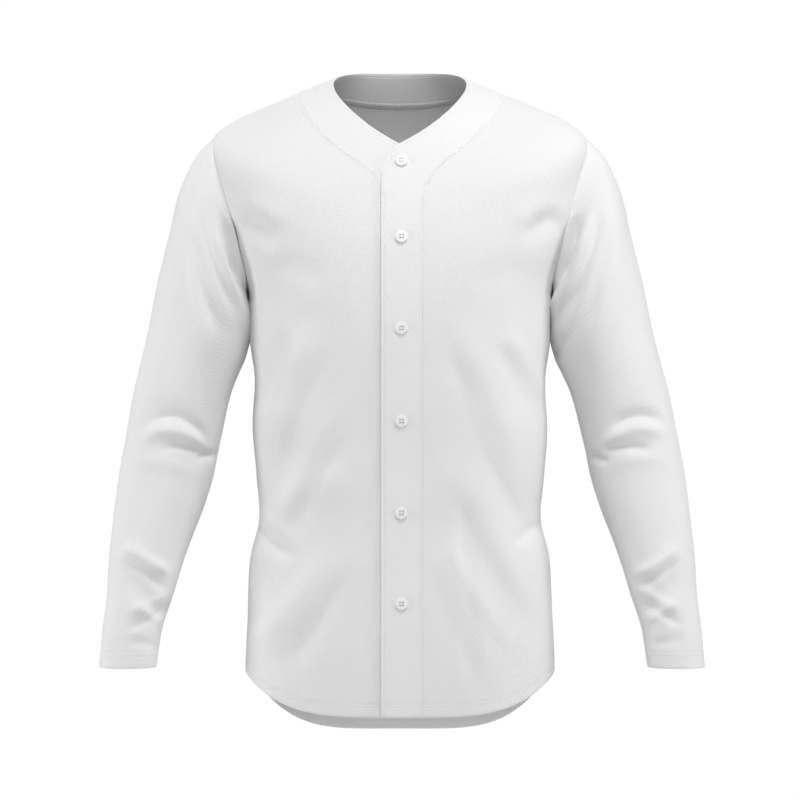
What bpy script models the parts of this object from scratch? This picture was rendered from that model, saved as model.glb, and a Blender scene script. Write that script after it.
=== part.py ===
"""Long-sleeved baseball jersey with a full button front, filled out as if worn.

The body is one smooth surface through rings from the hem to the neck edge, and the
fronts, the back and the neck bands are regions of it. Each sleeve is a loft from the
armhole to the cuff. Every cut piece is its own wall of cloth with a real thickness.

Axes: the chest faces -Y, +X is the wearer's left, +Z is up. The origin is midway
between the two high points of the shoulders, where the neck band meets the neck.
"""

import math

import bmesh
import bpy
from mathutils import Vector

# Cloth and seams, in metres
CLOTH = 0.0016
BAND_CLOTH = 0.0020
TAPE_CLOTH = 0.0010
SEAM_GAP = 0.0003
LAYER_GAP = 0.0006
BAND_PROUD = 0.0004

# Button front: the placket of the wearer's left front lies over the other one
TOP_EDGE_X = -0.0215
TOP_SEAM_X = 0.0250
UNDER_SEAM_X = -0.0185
UNDER_EDGE_X = 0.0235
PLACKET_LIFT = 0.0012
UNDER_DIP_START_X = -0.052
UNDER_DIP_END_X = -0.026

# Neck band: its seam runs round the neck, then turns down into the placket
SEAM_TURN_X = 0.058
SEAM_TURN_LOW_Z = -0.150
TOP_CORNER_LOW_Z = -0.131
TOP_CORNER_POWER = 3.4
NOTCH_SLOPE = 0.40

# Armhole, as a loop round the side of the body
ARMHOLE_FRONT_ANGLE = math.radians(21.0)
ARMHOLE_BACK_ANGLE = math.radians(23.0)
ARMHOLE_FULLNESS = 0.80

# The wearer's left arm hangs a little further out than the right one
LEFT_ARM_SWING = 0.0045
SWING_START = 0.12
SWING_END = 0.30

# The sleeve's own shape takes over from the armhole's by this section
JOIN_SECTION = "upper_arm"
MITRE_LIMIT = 1.6

# A fold shows on its own side of the garment only, and dies away at both ends
FOLD_TURN_START = -0.10
FOLD_TURN_FULL = 0.45
FOLD_END_OUT = 0.05
FOLD_END_IN = 0.30

# Neck tape inside the back, over the band seam
TAPE_ABOVE = 0.0038
TAPE_BELOW = 0.0039

# Buttons, four holes each
BUTTON_X = 0.00175
BUTTON_Z = (-0.0973, -0.1851, -0.2884, -0.3938, -0.4982, -0.6013)
BUTTON_RADIUS = 0.0076
BUTTON_HEIGHT = 0.0030
BUTTON_RIM = 0.0017
BUTTON_RIM_DROP = 0.00015
BUTTON_RIM_SIDE = 0.0002
BUTTON_DISH = 0.0009
BUTTON_DISH_RADIUS = 0.0049
BUTTON_HOLES = 4
BUTTON_HOLE_RADIUS = 0.00085
BUTTON_HOLE_CIRCLE = 0.0024
BUTTON_STEPS = 18
HOLE_SIDES = 6
HOLE_DEPTH = 0.009
BUTTON_GAP = 0.0004

# How finely each piece is divided
SIDE_ROWS = 13
ARMHOLE_ROWS = 14
PLACKET_ROWS = 5
TURN_ROWS = 4
CENTRE_BACK_ROWS = 8
FRONT_COLUMNS = 10
BACK_COLUMNS = 10
BAND_COLUMNS = 4
SLEEVE_ROWS = 26
FRONT_GRADING = 1.5
SEARCH_STEPS = 40
MERGE_DISTANCE = 1e-6
SHARP_ANGLE = math.radians(40.0)

FRONT = 0.0
SIDE = math.pi / 2
BACK = math.pi
STEP = 1e-4

# Rings of the body from the hem up. Level is how long a ring stays level about its
# centre, pitch tips it up towards the back, notch cuts the point of the V.
BODY_COLUMNS = ("half_width", "front_y", "side_y", "back_y", "front_z", "side_z", "back_z",
                "pitch", "notch", "level", "roundness")
BODY_RINGS = (
    ("hem", 0.1810, -0.128, 0.002, 0.122, -0.730, -0.686, -0.766, 0.000, 0.000, 3.8, 0.90),
    ("skirt", 0.1795, -0.127, 0.002, 0.120, -0.672, -0.644, -0.696, 0.000, 0.000, 3.4, 0.90),
    ("seat", 0.1773, -0.124, 0.002, 0.115, -0.606, -0.595, -0.617, 0.000, 0.000, 2.8, 0.89),
    ("hip", 0.1745, -0.121, 0.002, 0.108, -0.558, -0.552, -0.562, 0.000, 0.000, 2.2, 0.89),
    ("waist", 0.1648, -0.120, 0.002, 0.103, -0.506, -0.505, -0.507, 0.000, 0.000, 2.0, 0.88),
    ("high_waist", 0.1680, -0.121, 0.002, 0.103, -0.458, -0.458, -0.458, 0.000, 0.000, 2.0, 0.87),
    ("ribs", 0.1722, -0.124, 0.002, 0.108, -0.403, -0.403, -0.403, 0.000, 0.000, 2.0, 0.86),
    ("under_chest", 0.1695, -0.128, 0.002, 0.116, -0.350, -0.350, -0.348, 0.000, 0.000, 2.0, 0.86),
    ("chest", 0.1728, -0.131, 0.002, 0.121, -0.298, -0.298, -0.294, 0.000, 0.000, 2.0, 0.86),
    ("underarm", 0.1780, -0.132, 0.002, 0.123, -0.246, -0.242, -0.238, 0.000, 0.000, 2.0, 0.86),
    ("low_scye", 0.1965, -0.1285, 0.001, 0.121, -0.198, -0.190, -0.184, 0.000, 0.000, 2.0, 0.87),
    ("mid_scye", 0.2135, -0.1222, 0.000, 0.112, -0.166, -0.130, -0.130, 0.000, 0.000, 2.0, 0.89),
    ("tip", 0.2180, -0.1155, 0.000, 0.095, -0.143, -0.064, -0.076, 0.004, 0.000, 2.0, 0.92),
    ("shoulder", 0.1900, -0.113, 0.000, 0.089, -0.135, -0.0415, -0.061, 0.012, 0.000, 2.0, 0.94),
    ("mid_shoulder", 0.1580, -0.1095, 0.000, 0.081, -0.125, -0.0280, -0.043, 0.022, 0.000, 2.0, 0.96),
    ("band", 0.1205, -0.1045, 0.000, 0.070, -0.112, -0.0150, -0.019, 0.035, 0.004, 2.0, 0.98),
    ("collar", 0.0980, -0.0975, 0.000, 0.062, -0.094, -0.0065, 0.000, 0.034, 0.010, 2.0, 1.00),
    ("neck", 0.0780, -0.090, 0.000, 0.055, -0.076, 0.0000, 0.017, 0.033, 0.020, 2.0, 1.00),
)

# Sections of a sleeve from the armhole down, by their outer and inner points
SLEEVE_COLUMNS = ("outer_x", "outer_z", "inner_x", "inner_z", "front_y", "back_y", "roundness")
SLEEVE_SECTIONS = (
    ("armhole", 0.2180, -0.064, 0.1780, -0.242, -0.055, 0.062, 0.92),
    ("cap", 0.2385, -0.086, 0.1790, -0.259, -0.062, 0.066, 0.94),
    ("deltoid", 0.2560, -0.123, 0.1795, -0.277, -0.066, 0.068, 0.96),
    ("upper_arm", 0.2680, -0.169, 0.1790, -0.297, -0.067, 0.066, 0.97),
    ("biceps", 0.2810, -0.222, 0.1795, -0.317, -0.067, 0.061, 0.98),
    ("mid_arm", 0.2930, -0.280, 0.1875, -0.338, -0.066, 0.056, 0.98),
    ("above_elbow", 0.3045, -0.333, 0.1965, -0.362, -0.065, 0.051, 0.98),
    ("elbow_top", 0.3140, -0.377, 0.2040, -0.392, -0.064, 0.046, 0.98),
    ("elbow", 0.3210, -0.421, 0.2115, -0.428, -0.065, 0.041, 0.98),
    ("elbow_low", 0.3270, -0.459, 0.2180, -0.462, -0.067, 0.034, 0.98),
    ("forearm_top", 0.3320, -0.493, 0.2285, -0.495, -0.070, 0.027, 0.98),
    ("forearm", 0.3355, -0.528, 0.2415, -0.528, -0.073, 0.019, 0.98),
    ("mid_forearm", 0.3385, -0.562, 0.2530, -0.562, -0.076, 0.010, 0.98),
    ("low_forearm", 0.3400, -0.597, 0.2635, -0.597, -0.080, 0.000, 0.98),
    ("wrist", 0.3440, -0.637, 0.2750, -0.637, -0.084, -0.010, 0.98),
    ("cuff", 0.3475, -0.678, 0.2810, -0.678, -0.088, -0.020, 0.98),
)

# Largest folds of the body, each a soft ridge or trough along a bowed line
FOLD_COLUMNS = ("face", "from_x", "from_z", "to_x", "to_z", "bow", "width", "height")
BODY_FOLDS = (
    ("left_drape_high", "front", 0.052, -0.270, 0.152, -0.515, 0.012, 0.022, 0.0045),
    ("left_drape_mid", "front", 0.040, -0.425, 0.158, -0.640, 0.012, 0.022, 0.0040),
    ("left_drape_low", "front", 0.030, -0.520, 0.098, -0.690, 0.008, 0.018, 0.0030),
    ("right_drape_high", "front", -0.100, -0.275, -0.120, -0.430, -0.006, 0.024, 0.0035),
    ("right_drape_mid", "front", -0.060, -0.450, -0.160, -0.530, -0.010, 0.022, 0.0040),
    ("right_drape_low", "front", -0.040, -0.545, -0.150, -0.665, -0.010, 0.022, 0.0035),
    ("left_chest_crease", "front", 0.150, -0.172, 0.184, -0.158, 0.002, 0.010, -0.0025),
    ("right_chest_crease", "front", -0.150, -0.172, -0.184, -0.158, 0.002, 0.010, -0.0030),
    ("left_back_drape", "back", 0.060, -0.300, 0.150, -0.470, 0.010, 0.022, 0.0045),
    ("right_back_drape", "back", -0.055, -0.285, -0.150, -0.480, -0.010, 0.022, 0.0045),
    ("small_of_back", "back", -0.120, -0.495, 0.110, -0.505, -0.010, 0.020, 0.0040),
    ("left_tail_drape", "back", 0.050, -0.530, 0.130, -0.680, 0.010, 0.024, 0.0040),
    ("right_tail_drape", "back", -0.060, -0.540, -0.120, -0.690, -0.010, 0.024, 0.0040),
)

# Largest folds of the sleeves
SLEEVE_FOLDS = (
    ("left_long_ridge", "front", 0.222, -0.150, 0.184, -0.305, 0.004, 0.012, 0.0055),
    ("left_long_trough", "front", 0.212, -0.140, 0.176, -0.250, 0.004, 0.009, -0.0045),
    ("left_outer_ridge", "front", 0.250, -0.150, 0.215, -0.320, 0.004, 0.014, 0.0030),
    ("left_elbow_trough", "front", 0.232, -0.402, 0.308, -0.392, -0.010, 0.010, -0.0045),
    ("left_elbow_ridge", "front", 0.224, -0.428, 0.300, -0.410, -0.010, 0.012, 0.0045),
    ("left_wrist_ridge", "front", 0.315, -0.535, 0.278, -0.578, 0.004, 0.011, 0.0045),
    ("left_wrist_trough", "front", 0.318, -0.565, 0.272, -0.612, 0.004, 0.010, -0.0035),
    ("left_back_elbow", "back", 0.225, -0.420, 0.315, -0.395, 0.010, 0.013, -0.0045),
    ("left_back_long", "back", 0.225, -0.150, 0.190, -0.300, 0.004, 0.013, 0.0045),
    ("right_long_ridge", "front", -0.222, -0.150, -0.184, -0.300, -0.004, 0.012, 0.0055),
    ("right_long_trough", "front", -0.213, -0.135, -0.178, -0.245, -0.004, 0.009, -0.0050),
    ("right_outer_ridge", "front", -0.252, -0.155, -0.218, -0.330, -0.004, 0.014, 0.0035),
    ("right_elbow_trough", "front", -0.232, -0.395, -0.300, -0.392, 0.012, 0.010, -0.0050),
    ("right_elbow_ridge", "front", -0.226, -0.425, -0.296, -0.408, 0.010, 0.012, 0.0045),
    ("right_wrist_ridge", "front", -0.316, -0.532, -0.276, -0.572, -0.004, 0.011, 0.0050),
    ("right_wrist_trough", "front", -0.312, -0.568, -0.270, -0.615, -0.004, 0.010, -0.0035),
    ("right_back_elbow", "back", -0.225, -0.425, -0.315, -0.390, -0.010, 0.013, -0.0045),
    ("right_back_long", "back", -0.225, -0.150, -0.190, -0.305, -0.004, 0.013, 0.0045),
)

# Finish of each kind of piece: colour, roughness
FINISHES = {
    "cloth": ((0.86, 0.86, 0.87), 0.85),
    "band": ((0.88, 0.88, 0.89), 0.82),
    "tape": ((0.80, 0.80, 0.81), 0.88),
    "button": ((0.90, 0.90, 0.91), 0.35),
}


# Reading the tables

def named_rows(rows, columns):
    """Rows of a table as dictionaries, by their columns' names."""
    return [dict(zip(("name",) + columns, row)) for row in rows]


def distances(points):
    """Running distance along a list of points."""
    total = [0.0]
    for before, after in zip(points, points[1:]):
        total.append(total[-1] + (after - before).length)
    return total


def smooth_row(rows, stations, columns, at):
    """Every column at a station, on a smooth curve through the rows."""
    at = min(max(at, stations[0]), stations[-1])
    i = 0
    while i < len(stations) - 2 and at > stations[i + 1]:
        i += 1
    gap = stations[i + 1] - stations[i]
    t = (at - stations[i]) / gap
    result = {}
    for column in columns:
        slopes = [slope_at(rows, stations, column, i + k) * gap for k in (0, 1)]
        start, end = rows[i][column], rows[i + 1][column]
        result[column] = (
            start * (2 * t ** 3 - 3 * t ** 2 + 1) + slopes[0] * (t ** 3 - 2 * t ** 2 + t)
            + end * (3 * t ** 2 - 2 * t ** 3) + slopes[1] * (t ** 3 - t ** 2)
        )
    return result


def slope_at(rows, stations, column, i):
    """Slope of a column at a row, from the rows beside it."""
    low, high = max(i - 1, 0), min(i + 1, len(rows) - 1)
    if low == i or high == i:
        return (rows[high][column] - rows[low][column]) / (stations[high] - stations[low])
    before = stations[i] - stations[low]
    after = stations[high] - stations[i]
    rise_before = (rows[i][column] - rows[low][column]) / before
    rise_after = (rows[high][column] - rows[i][column]) / after
    return (rise_before * after + rise_after * before) / (before + after)


def ease(value, start, end):
    """Smooth step from 0 at start to 1 at end."""
    t = min(max((value - start) / (end - start), 0.0), 1.0)
    return t * t * (3 - 2 * t)


def blend(a, b, t):
    """Value part of the way from a to b."""
    return a + (b - a) * t


def signed_power(value, power):
    """Power that keeps the sign."""
    return math.copysign(abs(value) ** power, value)


# Folds

def fold_height(folds, x, z, facing):
    """Height of the folds at a place seen from the front. Facing is 1 in front, -1 behind."""
    total = 0.0
    for fold in folds:
        side = facing if fold["face"] == "front" else -facing
        weight = ease(side, FOLD_TURN_START, FOLD_TURN_FULL)
        if weight == 0.0:
            continue
        start = Vector((fold["from_x"], fold["from_z"]))
        along = Vector((fold["to_x"], fold["to_z"])) - start
        length = along.length
        along /= length
        across = Vector((-along.y, along.x))
        offset = Vector((x, z)) - start
        t = offset.dot(along) / length
        middle = fold["bow"] * 4 * t * (1 - t)
        distance = (offset.dot(across) - middle) / fold["width"]
        ends = ease(t, -FOLD_END_OUT, FOLD_END_IN) * ease(1 - t, -FOLD_END_OUT, FOLD_END_IN)
        total += weight * ends * fold["height"] * math.exp(-distance * distance)
    return total


# Body surface

BODY = named_rows(BODY_RINGS, BODY_COLUMNS)
BODY_UP = distances([Vector((ring["half_width"], ring["side_z"])) for ring in BODY])
UP = {ring["name"]: up for ring, up in zip(BODY, BODY_UP)}
BODY_FOLD_ROWS = named_rows(BODY_FOLDS, FOLD_COLUMNS)


def body_base(angle, up):
    """Point of the body before its folds. Angle is 0 in front, positive to the left."""
    ring = smooth_row(BODY, BODY_UP, BODY_COLUMNS, up)
    s, c = math.sin(angle), math.cos(angle)
    x = ring["half_width"] * signed_power(s, ring["roundness"])
    end_y = ring["front_y"] + NOTCH_SLOPE * ring["notch"] if c > 0 else ring["back_y"]
    end_z = ring["front_z"] + ring["notch"] if c > 0 else ring["back_z"]
    tip = ring["pitch"] if c > 0 else -ring["pitch"]
    y = ring["side_y"] + (end_y - ring["side_y"]) * abs(c) ** ring["roundness"]
    rise = (end_z - ring["side_z"] + tip) * (1 - abs(s) ** ring["level"]) - ring["pitch"] * c
    cut = ring["notch"] * max(1 - abs(s), 0.0) ** 2 if c > 0 else 0.0
    return Vector((x, y - NOTCH_SLOPE * cut, ring["side_z"] + rise - cut))


def body_normal(angle, up):
    """Outward direction of the body's surface."""
    across = body_base(angle + STEP, up) - body_base(angle - STEP, up)
    low, high = max(up - STEP, 0.0), min(up + STEP, BODY_UP[-1])
    upward = body_base(angle, high) - body_base(angle, low)
    return across.cross(upward).normalized()


def body_point(angle, up, level=0.0):
    """Point of the folded body and its outward direction, level metres out of the cloth's face."""
    base = body_base(angle, up)
    normal = body_normal(angle, up)
    height = fold_height(BODY_FOLD_ROWS, base.x, base.z, math.cos(angle))
    return base + normal * (height + level), normal


def angle_at_x(x, up):
    """Angle at which a ring of the front passes a given distance from the centre."""
    ring = smooth_row(BODY, BODY_UP, ("half_width", "roundness"), up)
    return math.asin(signed_power(x / ring["half_width"], 1 / ring["roundness"]))


def up_on_front(x, z):
    """Ring that passes a given place of the front near the placket."""
    low, high = 0.0, BODY_UP[-1]
    for _ in range(SEARCH_STEPS):
        middle = (low + high) / 2
        if body_base(angle_at_x(x, middle), middle).z < z:
            low = middle
        else:
            high = middle
    return (low + high) / 2


# Seam lines, as lists of (angle, up) on the body

def even(count):
    """Count equal steps from 0 to 1."""
    return [k / count for k in range(count + 1)]


def side_seam():
    """Side seam from the hem to the underarm."""
    return [(SIDE, UP["underarm"] * t) for t in even(SIDE_ROWS)]


def armhole(front):
    """Half of the armhole, from the underarm to the shoulder tip."""
    middle = (UP["underarm"] + UP["tip"]) / 2
    half = (UP["tip"] - UP["underarm"]) / 2
    bulge = -ARMHOLE_FRONT_ANGLE if front else ARMHOLE_BACK_ANGLE
    line = []
    for t in even(ARMHOLE_ROWS)[1:]:
        turn = math.pi * (t - 0.5)
        line.append((SIDE + bulge * max(math.cos(turn), 0.0) ** ARMHOLE_FULLNESS,
                     middle + half * math.sin(turn)))
    return line


def front_seam(placket_x):
    """Seam between a front and its band, from the hem up the placket and round to the shoulder."""
    line = [(angle_at_x(placket_x, UP["underarm"] * t), UP["underarm"] * t) for t in even(SIDE_ROWS)]
    sign = math.copysign(1.0, placket_x)
    start_z = body_base(*line[-1]).z
    for t in even(PLACKET_ROWS)[1:]:
        up = up_on_front(placket_x, blend(start_z, SEAM_TURN_LOW_Z, t))
        line.append((angle_at_x(placket_x, up), up))
    turn_x = sign * SEAM_TURN_X
    top_z = body_base(angle_at_x(turn_x, UP["band"]), UP["band"]).z
    for t in even(TURN_ROWS)[1:]:
        turn = t * math.pi / 2
        x = blend(placket_x, turn_x, 1 - math.cos(turn))
        z = blend(SEAM_TURN_LOW_Z, top_z, math.sin(turn))
        up = up_on_front(x, z)
        line.append((angle_at_x(x, up), up))
    start = line[-1][0]
    for t in even(ARMHOLE_ROWS - PLACKET_ROWS - TURN_ROWS)[1:]:
        line.append((blend(start, sign * SIDE, t), UP["band"]))
    return line


def front_edge(edge_x):
    """Free edge of a band, from the hem up the placket, round its corner and along the neck."""
    line = [(angle_at_x(edge_x, UP["underarm"] * t), UP["underarm"] * t) for t in even(SIDE_ROWS)]
    sign = math.copysign(1.0, edge_x)
    start_z = body_base(*line[-1]).z
    point_z = body_base(FRONT, UP["neck"]).z
    for t in even(PLACKET_ROWS)[1:]:
        up = up_on_front(edge_x, blend(start_z, TOP_CORNER_LOW_Z, t))
        line.append((angle_at_x(edge_x, up), up))
    for t in even(TURN_ROWS)[1:]:
        z = blend(TOP_CORNER_LOW_Z, point_z, math.sin(t * math.pi / 2))
        rise = (z - TOP_CORNER_LOW_Z) / (point_z - TOP_CORNER_LOW_Z)
        x = edge_x * (1 - rise ** TOP_CORNER_POWER)
        up = up_on_front(x, z)
        line.append((angle_at_x(x, up), up))
    for t in even(ARMHOLE_ROWS - PLACKET_ROWS - TURN_ROWS)[1:]:
        line.append((-sign * SIDE * t, UP["neck"]))
    return line


def back_line():
    """Centre back from the hem up, then along the band seam to the shoulder."""
    line = [(BACK, UP["underarm"] * t) for t in even(SIDE_ROWS)]
    for t in even(CENTRE_BACK_ROWS)[1:]:
        line.append((BACK, blend(UP["underarm"], UP["band"], t)))
    for t in even(ARMHOLE_ROWS - CENTRE_BACK_ROWS)[1:]:
        line.append((blend(BACK, SIDE, t), UP["band"]))
    return line


# Cloth levels over the body's surface

def top_level(x):
    """Outer face of the top placket and the bands."""
    width = TOP_SEAM_X - TOP_EDGE_X
    return BAND_PROUD + PLACKET_LIFT * min(max((TOP_SEAM_X - x) / width, 0.0), 1.0)


def under_level(x, away):
    """Outer face of what passes under the top placket, and its level away from it."""
    beneath = top_level(max(x, TOP_EDGE_X)) - BAND_CLOTH - LAYER_GAP
    return blend(away, beneath, ease(x, UNDER_DIP_START_X, UNDER_DIP_END_X))


# Grids of points and normals

def grid_between(first, last, parts, level):
    """Grid on the body between two seam lines. Level gives the face's height from x."""
    points, normals = [], []
    for start, end in zip(first, last):
        point_row, normal_row = [], []
        for t in parts:
            angle, up = blend(start[0], end[0], t), blend(start[1], end[1], t)
            point, normal = body_point(angle, up, level(body_base(angle, up).x))
            point_row.append(point)
            normal_row.append(normal)
        points.append(point_row)
        normals.append(normal_row)
    return points, normals


def seam_shift(line, inner, k):
    """Half a seam gap away from a seam at its point k, towards the piece's own cloth."""
    along = line[min(k + 1, len(line) - 1)] - line[max(k - 1, 0)]
    along.normalize()
    inward = inner[k] - line[k]
    inward -= along * inward.dot(along)
    return inward.normalized() * (SEAM_GAP / 2)


def pull_column(layers, column, towards, start=0):
    """Draw a column of a wall's two faces back from its seam, from a row up."""
    outer = layers[0]
    line = [row[column] for row in outer[start:]]
    inner = [row[towards] for row in outer[start:]]
    if start > 0:
        inner[0] = outer[start - 1][column]
    shifts = [seam_shift(line, inner, k) for k in range(len(line))]
    if start > 0:
        shifts[0].x = 0.0
    for layer in layers:
        for row, shift in zip(layer[start:], shifts):
            row[column] = row[column] + shift


def pull_row(layers, row, towards):
    """Draw a row of a wall's two faces back from its seam."""
    line, inner = layers[0][row], layers[0][towards]
    shifts = [seam_shift(line, inner, k) for k in range(len(line))]
    for layer in layers:
        layer[row] = [point + shift for point, shift in zip(layer[row], shifts)]


def wall_layers(points, normals, thickness):
    """Outer and inner face of a wall, as two grids."""
    inner = [[p - n * thickness for p, n in zip(*rows)] for rows in zip(points, normals)]
    return [[list(row) for row in points], inner]


# Making objects

def fresh_collection(name):
    """New collection in the scene."""
    collection = bpy.data.collections.new(name)
    bpy.context.scene.collection.children.link(collection)
    return collection


def material(name):
    """Principled material of one finish."""
    found = bpy.data.materials.get(name)
    if found:
        return found
    colour, roughness = FINISHES[name]
    made = bpy.data.materials.new(name)
    made.use_nodes = True
    shader = made.node_tree.nodes["Principled BSDF"]
    shader.inputs["Base Color"].default_value = (*colour, 1.0)
    shader.inputs["Roughness"].default_value = roughness
    shader.inputs["Metallic"].default_value = 0.0
    return made


def add_wall(bm, layers, normals, closed=False, joined_rows=0):
    """Faces of a wall of cloth: both faces and the edges round it."""
    outer, inner = layers
    rows, columns = len(outer), len(outer[0])
    skins = [[[bm.verts.new(p) for p in row] for row in layer] for layer in (outer, inner)]
    across = outer[0][1] - outer[0][0]
    upward = outer[1][0] - outer[0][0]
    turned = across.cross(upward).dot(normals[0][0]) < 0

    def quad(*corners):
        bm.faces.new(corners[::-1] if turned else corners)

    last = columns if closed else columns - 1
    for j in range(rows - 1):
        for i in range(last):
            k = (i + 1) % columns
            o, n = skins
            quad(o[j][i], o[j][k], o[j + 1][k], o[j + 1][i])
            quad(n[j][i], n[j + 1][i], n[j + 1][k], n[j][k])
    for i in range(last):
        k = (i + 1) % columns
        o, n = skins
        quad(n[0][i], n[0][k], o[0][k], o[0][i])
        quad(o[-1][i], o[-1][k], n[-1][k], n[-1][i])
    if closed:
        return
    for j in range(rows - 1):
        o, n = skins
        if j >= joined_rows:
            quad(n[j][0], o[j][0], o[j + 1][0], n[j + 1][0])
        quad(o[j][-1], n[j][-1], n[j + 1][-1], o[j + 1][-1])


def finish_piece(bm, name, finish, collection):
    """Object of a piece from its faces."""
    bmesh.ops.remove_doubles(bm, verts=bm.verts, dist=MERGE_DISTANCE)
    mesh = bpy.data.meshes.new(name)
    bm.to_mesh(mesh)
    bm.free()
    mesh.shade_smooth()
    mesh.set_sharp_from_angle(angle=SHARP_ANGLE)
    mesh.materials.append(material(finish))
    piece = bpy.data.objects.new(name, mesh)
    collection.objects.link(piece)
    return piece


# Armhole seam, shared by the body and the sleeve

SLEEVE = named_rows(SLEEVE_SECTIONS, SLEEVE_COLUMNS)
SLEEVE_DOWN = distances([
    Vector((row["outer_x"] + row["inner_x"], row["outer_z"] + row["inner_z"])) / 2 for row in SLEEVE
])
SLEEVE_FOLD_ROWS = named_rows(SLEEVE_FOLDS, FOLD_COLUMNS)
JOIN_LENGTH = dict(zip((row["name"] for row in SLEEVE), SLEEVE_DOWN))[JOIN_SECTION]


def armhole_place(turn):
    """Place on the left armhole. Turn is 0 in front, a quarter circle at the shoulder tip."""
    middle = (UP["underarm"] + UP["tip"]) / 2
    half = (UP["tip"] - UP["underarm"]) / 2
    c = math.cos(turn)
    bulge = -ARMHOLE_FRONT_ANGLE if c > 0 else ARMHOLE_BACK_ANGLE
    return SIDE + bulge * abs(c) ** ARMHOLE_FULLNESS, middle + half * math.sin(turn)


def section_point(turn, down):
    """Point of a plain sleeve section."""
    row = smooth_row(SLEEVE, SLEEVE_DOWN, SLEEVE_COLUMNS, down)
    s = (1 + signed_power(math.sin(turn), row["roundness"])) / 2
    c = signed_power(math.cos(turn), row["roundness"])
    middle_y = (row["front_y"] + row["back_y"]) / 2
    half_y = (row["back_y"] - row["front_y"]) / 2
    return Vector((blend(row["inner_x"], row["outer_x"], s), middle_y - half_y * c,
                   blend(row["inner_z"], row["outer_z"], s)))


def sleeve_base(turn, down):
    """Point of the left sleeve before its folds, joined to the armhole at the top."""
    point = section_point(turn, down)
    join = 1 - ease(down, 0.0, JOIN_LENGTH)
    if join > 0.0:
        seam, _ = body_point(*armhole_place(turn))
        point += (seam - section_point(turn, 0.0)) * join
    return point


def sleeve_normal(turn, down):
    """Outward direction of the left sleeve."""
    around = sleeve_base(turn + STEP, down) - sleeve_base(turn - STEP, down)
    low, high = max(down - STEP, 0.0), min(down + STEP, SLEEVE_DOWN[-1])
    downward = sleeve_base(turn, high) - sleeve_base(turn, low)
    return downward.cross(around).normalized()


def armhole_normal(turn):
    """Direction shared by the body and the sleeve where they meet, lengthened for the mitre."""
    body = body_normal(*armhole_place(turn))
    sleeve = sleeve_normal(turn, 0.0)
    shared = (body + sleeve).normalized()
    return shared / max(shared.dot(body), 1 / MITRE_LIMIT)


def mirrored(point, side):
    """Point on the left (side 1) or the right (side -1)."""
    return Vector((point.x * side, point.y, point.z))


def swung(point, side, down):
    """Point of a sleeve on its own side, with the left arm swung out."""
    swing = LEFT_ARM_SWING * ease(down, SWING_START, SWING_END) if side > 0 else 0.0
    return Vector((side * point.x + swing, point.y, point.z))


# The pieces

def armhole_turns(front):
    """Turns round the armhole from the underarm to the tip, in front or behind."""
    sweep = [math.pi * (t - 0.5) for t in even(ARMHOLE_ROWS)]
    return sweep if front else [math.pi - turn for turn in sweep]


def edge_normals(normals, front, side, column):
    """Give a body piece the armhole's shared directions along its armhole edge."""
    for row, turn in zip(normals[SIDE_ROWS:], armhole_turns(front)):
        row[column] = mirrored(armhole_normal(turn), side)


def make_front(name, side, placket_x, level, collection):
    """One front, from its placket seam to the side seam and the armhole."""
    first = front_seam(placket_x)
    last = [(side * angle, up) for angle, up in side_seam() + armhole(True)]
    parts = [t ** FRONT_GRADING for t in even(FRONT_COLUMNS)]
    points, normals = grid_between(first, last, parts, level)
    edge_normals(normals, True, side, -1)
    layers = wall_layers(points, normals, CLOTH)
    pull_column(layers, 0, 1)
    pull_column(layers, -1, -2)
    pull_row(layers, -1, -2)
    bm = bmesh.new()
    add_wall(bm, layers, normals)
    return finish_piece(bm, name, "cloth", collection)


def half_back():
    """Left half of the back as a wall, with the count of its rows joined at the centre."""
    last = side_seam() + armhole(False)
    points, normals = grid_between(back_line(), last, even(BACK_COLUMNS), lambda x: 0.0)
    edge_normals(normals, False, 1, -1)
    joined = SIDE_ROWS + CENTRE_BACK_ROWS
    layers = wall_layers(points, normals, CLOTH)
    pull_column(layers, -1, -2)
    pull_column(layers, 0, 1, joined)
    pull_row(layers, -1, -2)
    return layers, normals, joined


def make_back(collection):
    """The back in one piece, both halves as one wall."""
    layers, normals, joined = half_back()
    other = [[[mirrored(p, -1) for p in row] for row in layer] for layer in layers]
    other_normals = [[mirrored(n, -1) for n in row] for row in normals]
    bm = bmesh.new()
    add_wall(bm, layers, normals, joined_rows=joined)
    add_wall(bm, other, other_normals, joined_rows=joined)
    return finish_piece(bm, "back", "cloth", collection)


def make_band(name, edge_x, seam_x, level, collection):
    """Placket and neck band of one front, cut in one piece from the hem to the shoulder."""
    points, normals = grid_between(front_edge(edge_x), front_seam(seam_x), even(BAND_COLUMNS), level)
    layers = wall_layers(points, normals, BAND_CLOTH)
    pull_column(layers, -1, -2)
    pull_row(layers, -1, -2)
    bm = bmesh.new()
    add_wall(bm, layers, normals)
    return finish_piece(bm, name, "band", collection)


def back_band_angles():
    """Angles along the back band, from the left shoulder round to the right."""
    half = [blend(SIDE, BACK, t) for t in even(ARMHOLE_ROWS - CENTRE_BACK_ROWS)]
    return half + [2 * BACK - angle for angle in half[-2::-1]]


def make_back_band(collection):
    """Neck band across the back, between the shoulder seams."""
    angles = back_band_angles()
    rows = [blend(UP["band"], UP["neck"], t) for t in even(BAND_COLUMNS)]
    grid = [[body_point(angle, up, BAND_PROUD) for angle in angles] for up in rows]
    points = [[p for p, _ in row] for row in grid]
    normals = [[n for _, n in row] for row in grid]
    layers = wall_layers(points, normals, BAND_CLOTH)
    pull_row(layers, 0, 1)
    pull_column(layers, 0, 1)
    pull_column(layers, -1, -2)
    bm = bmesh.new()
    add_wall(bm, layers, normals)
    return finish_piece(bm, "band_back", "band", collection)


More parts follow.
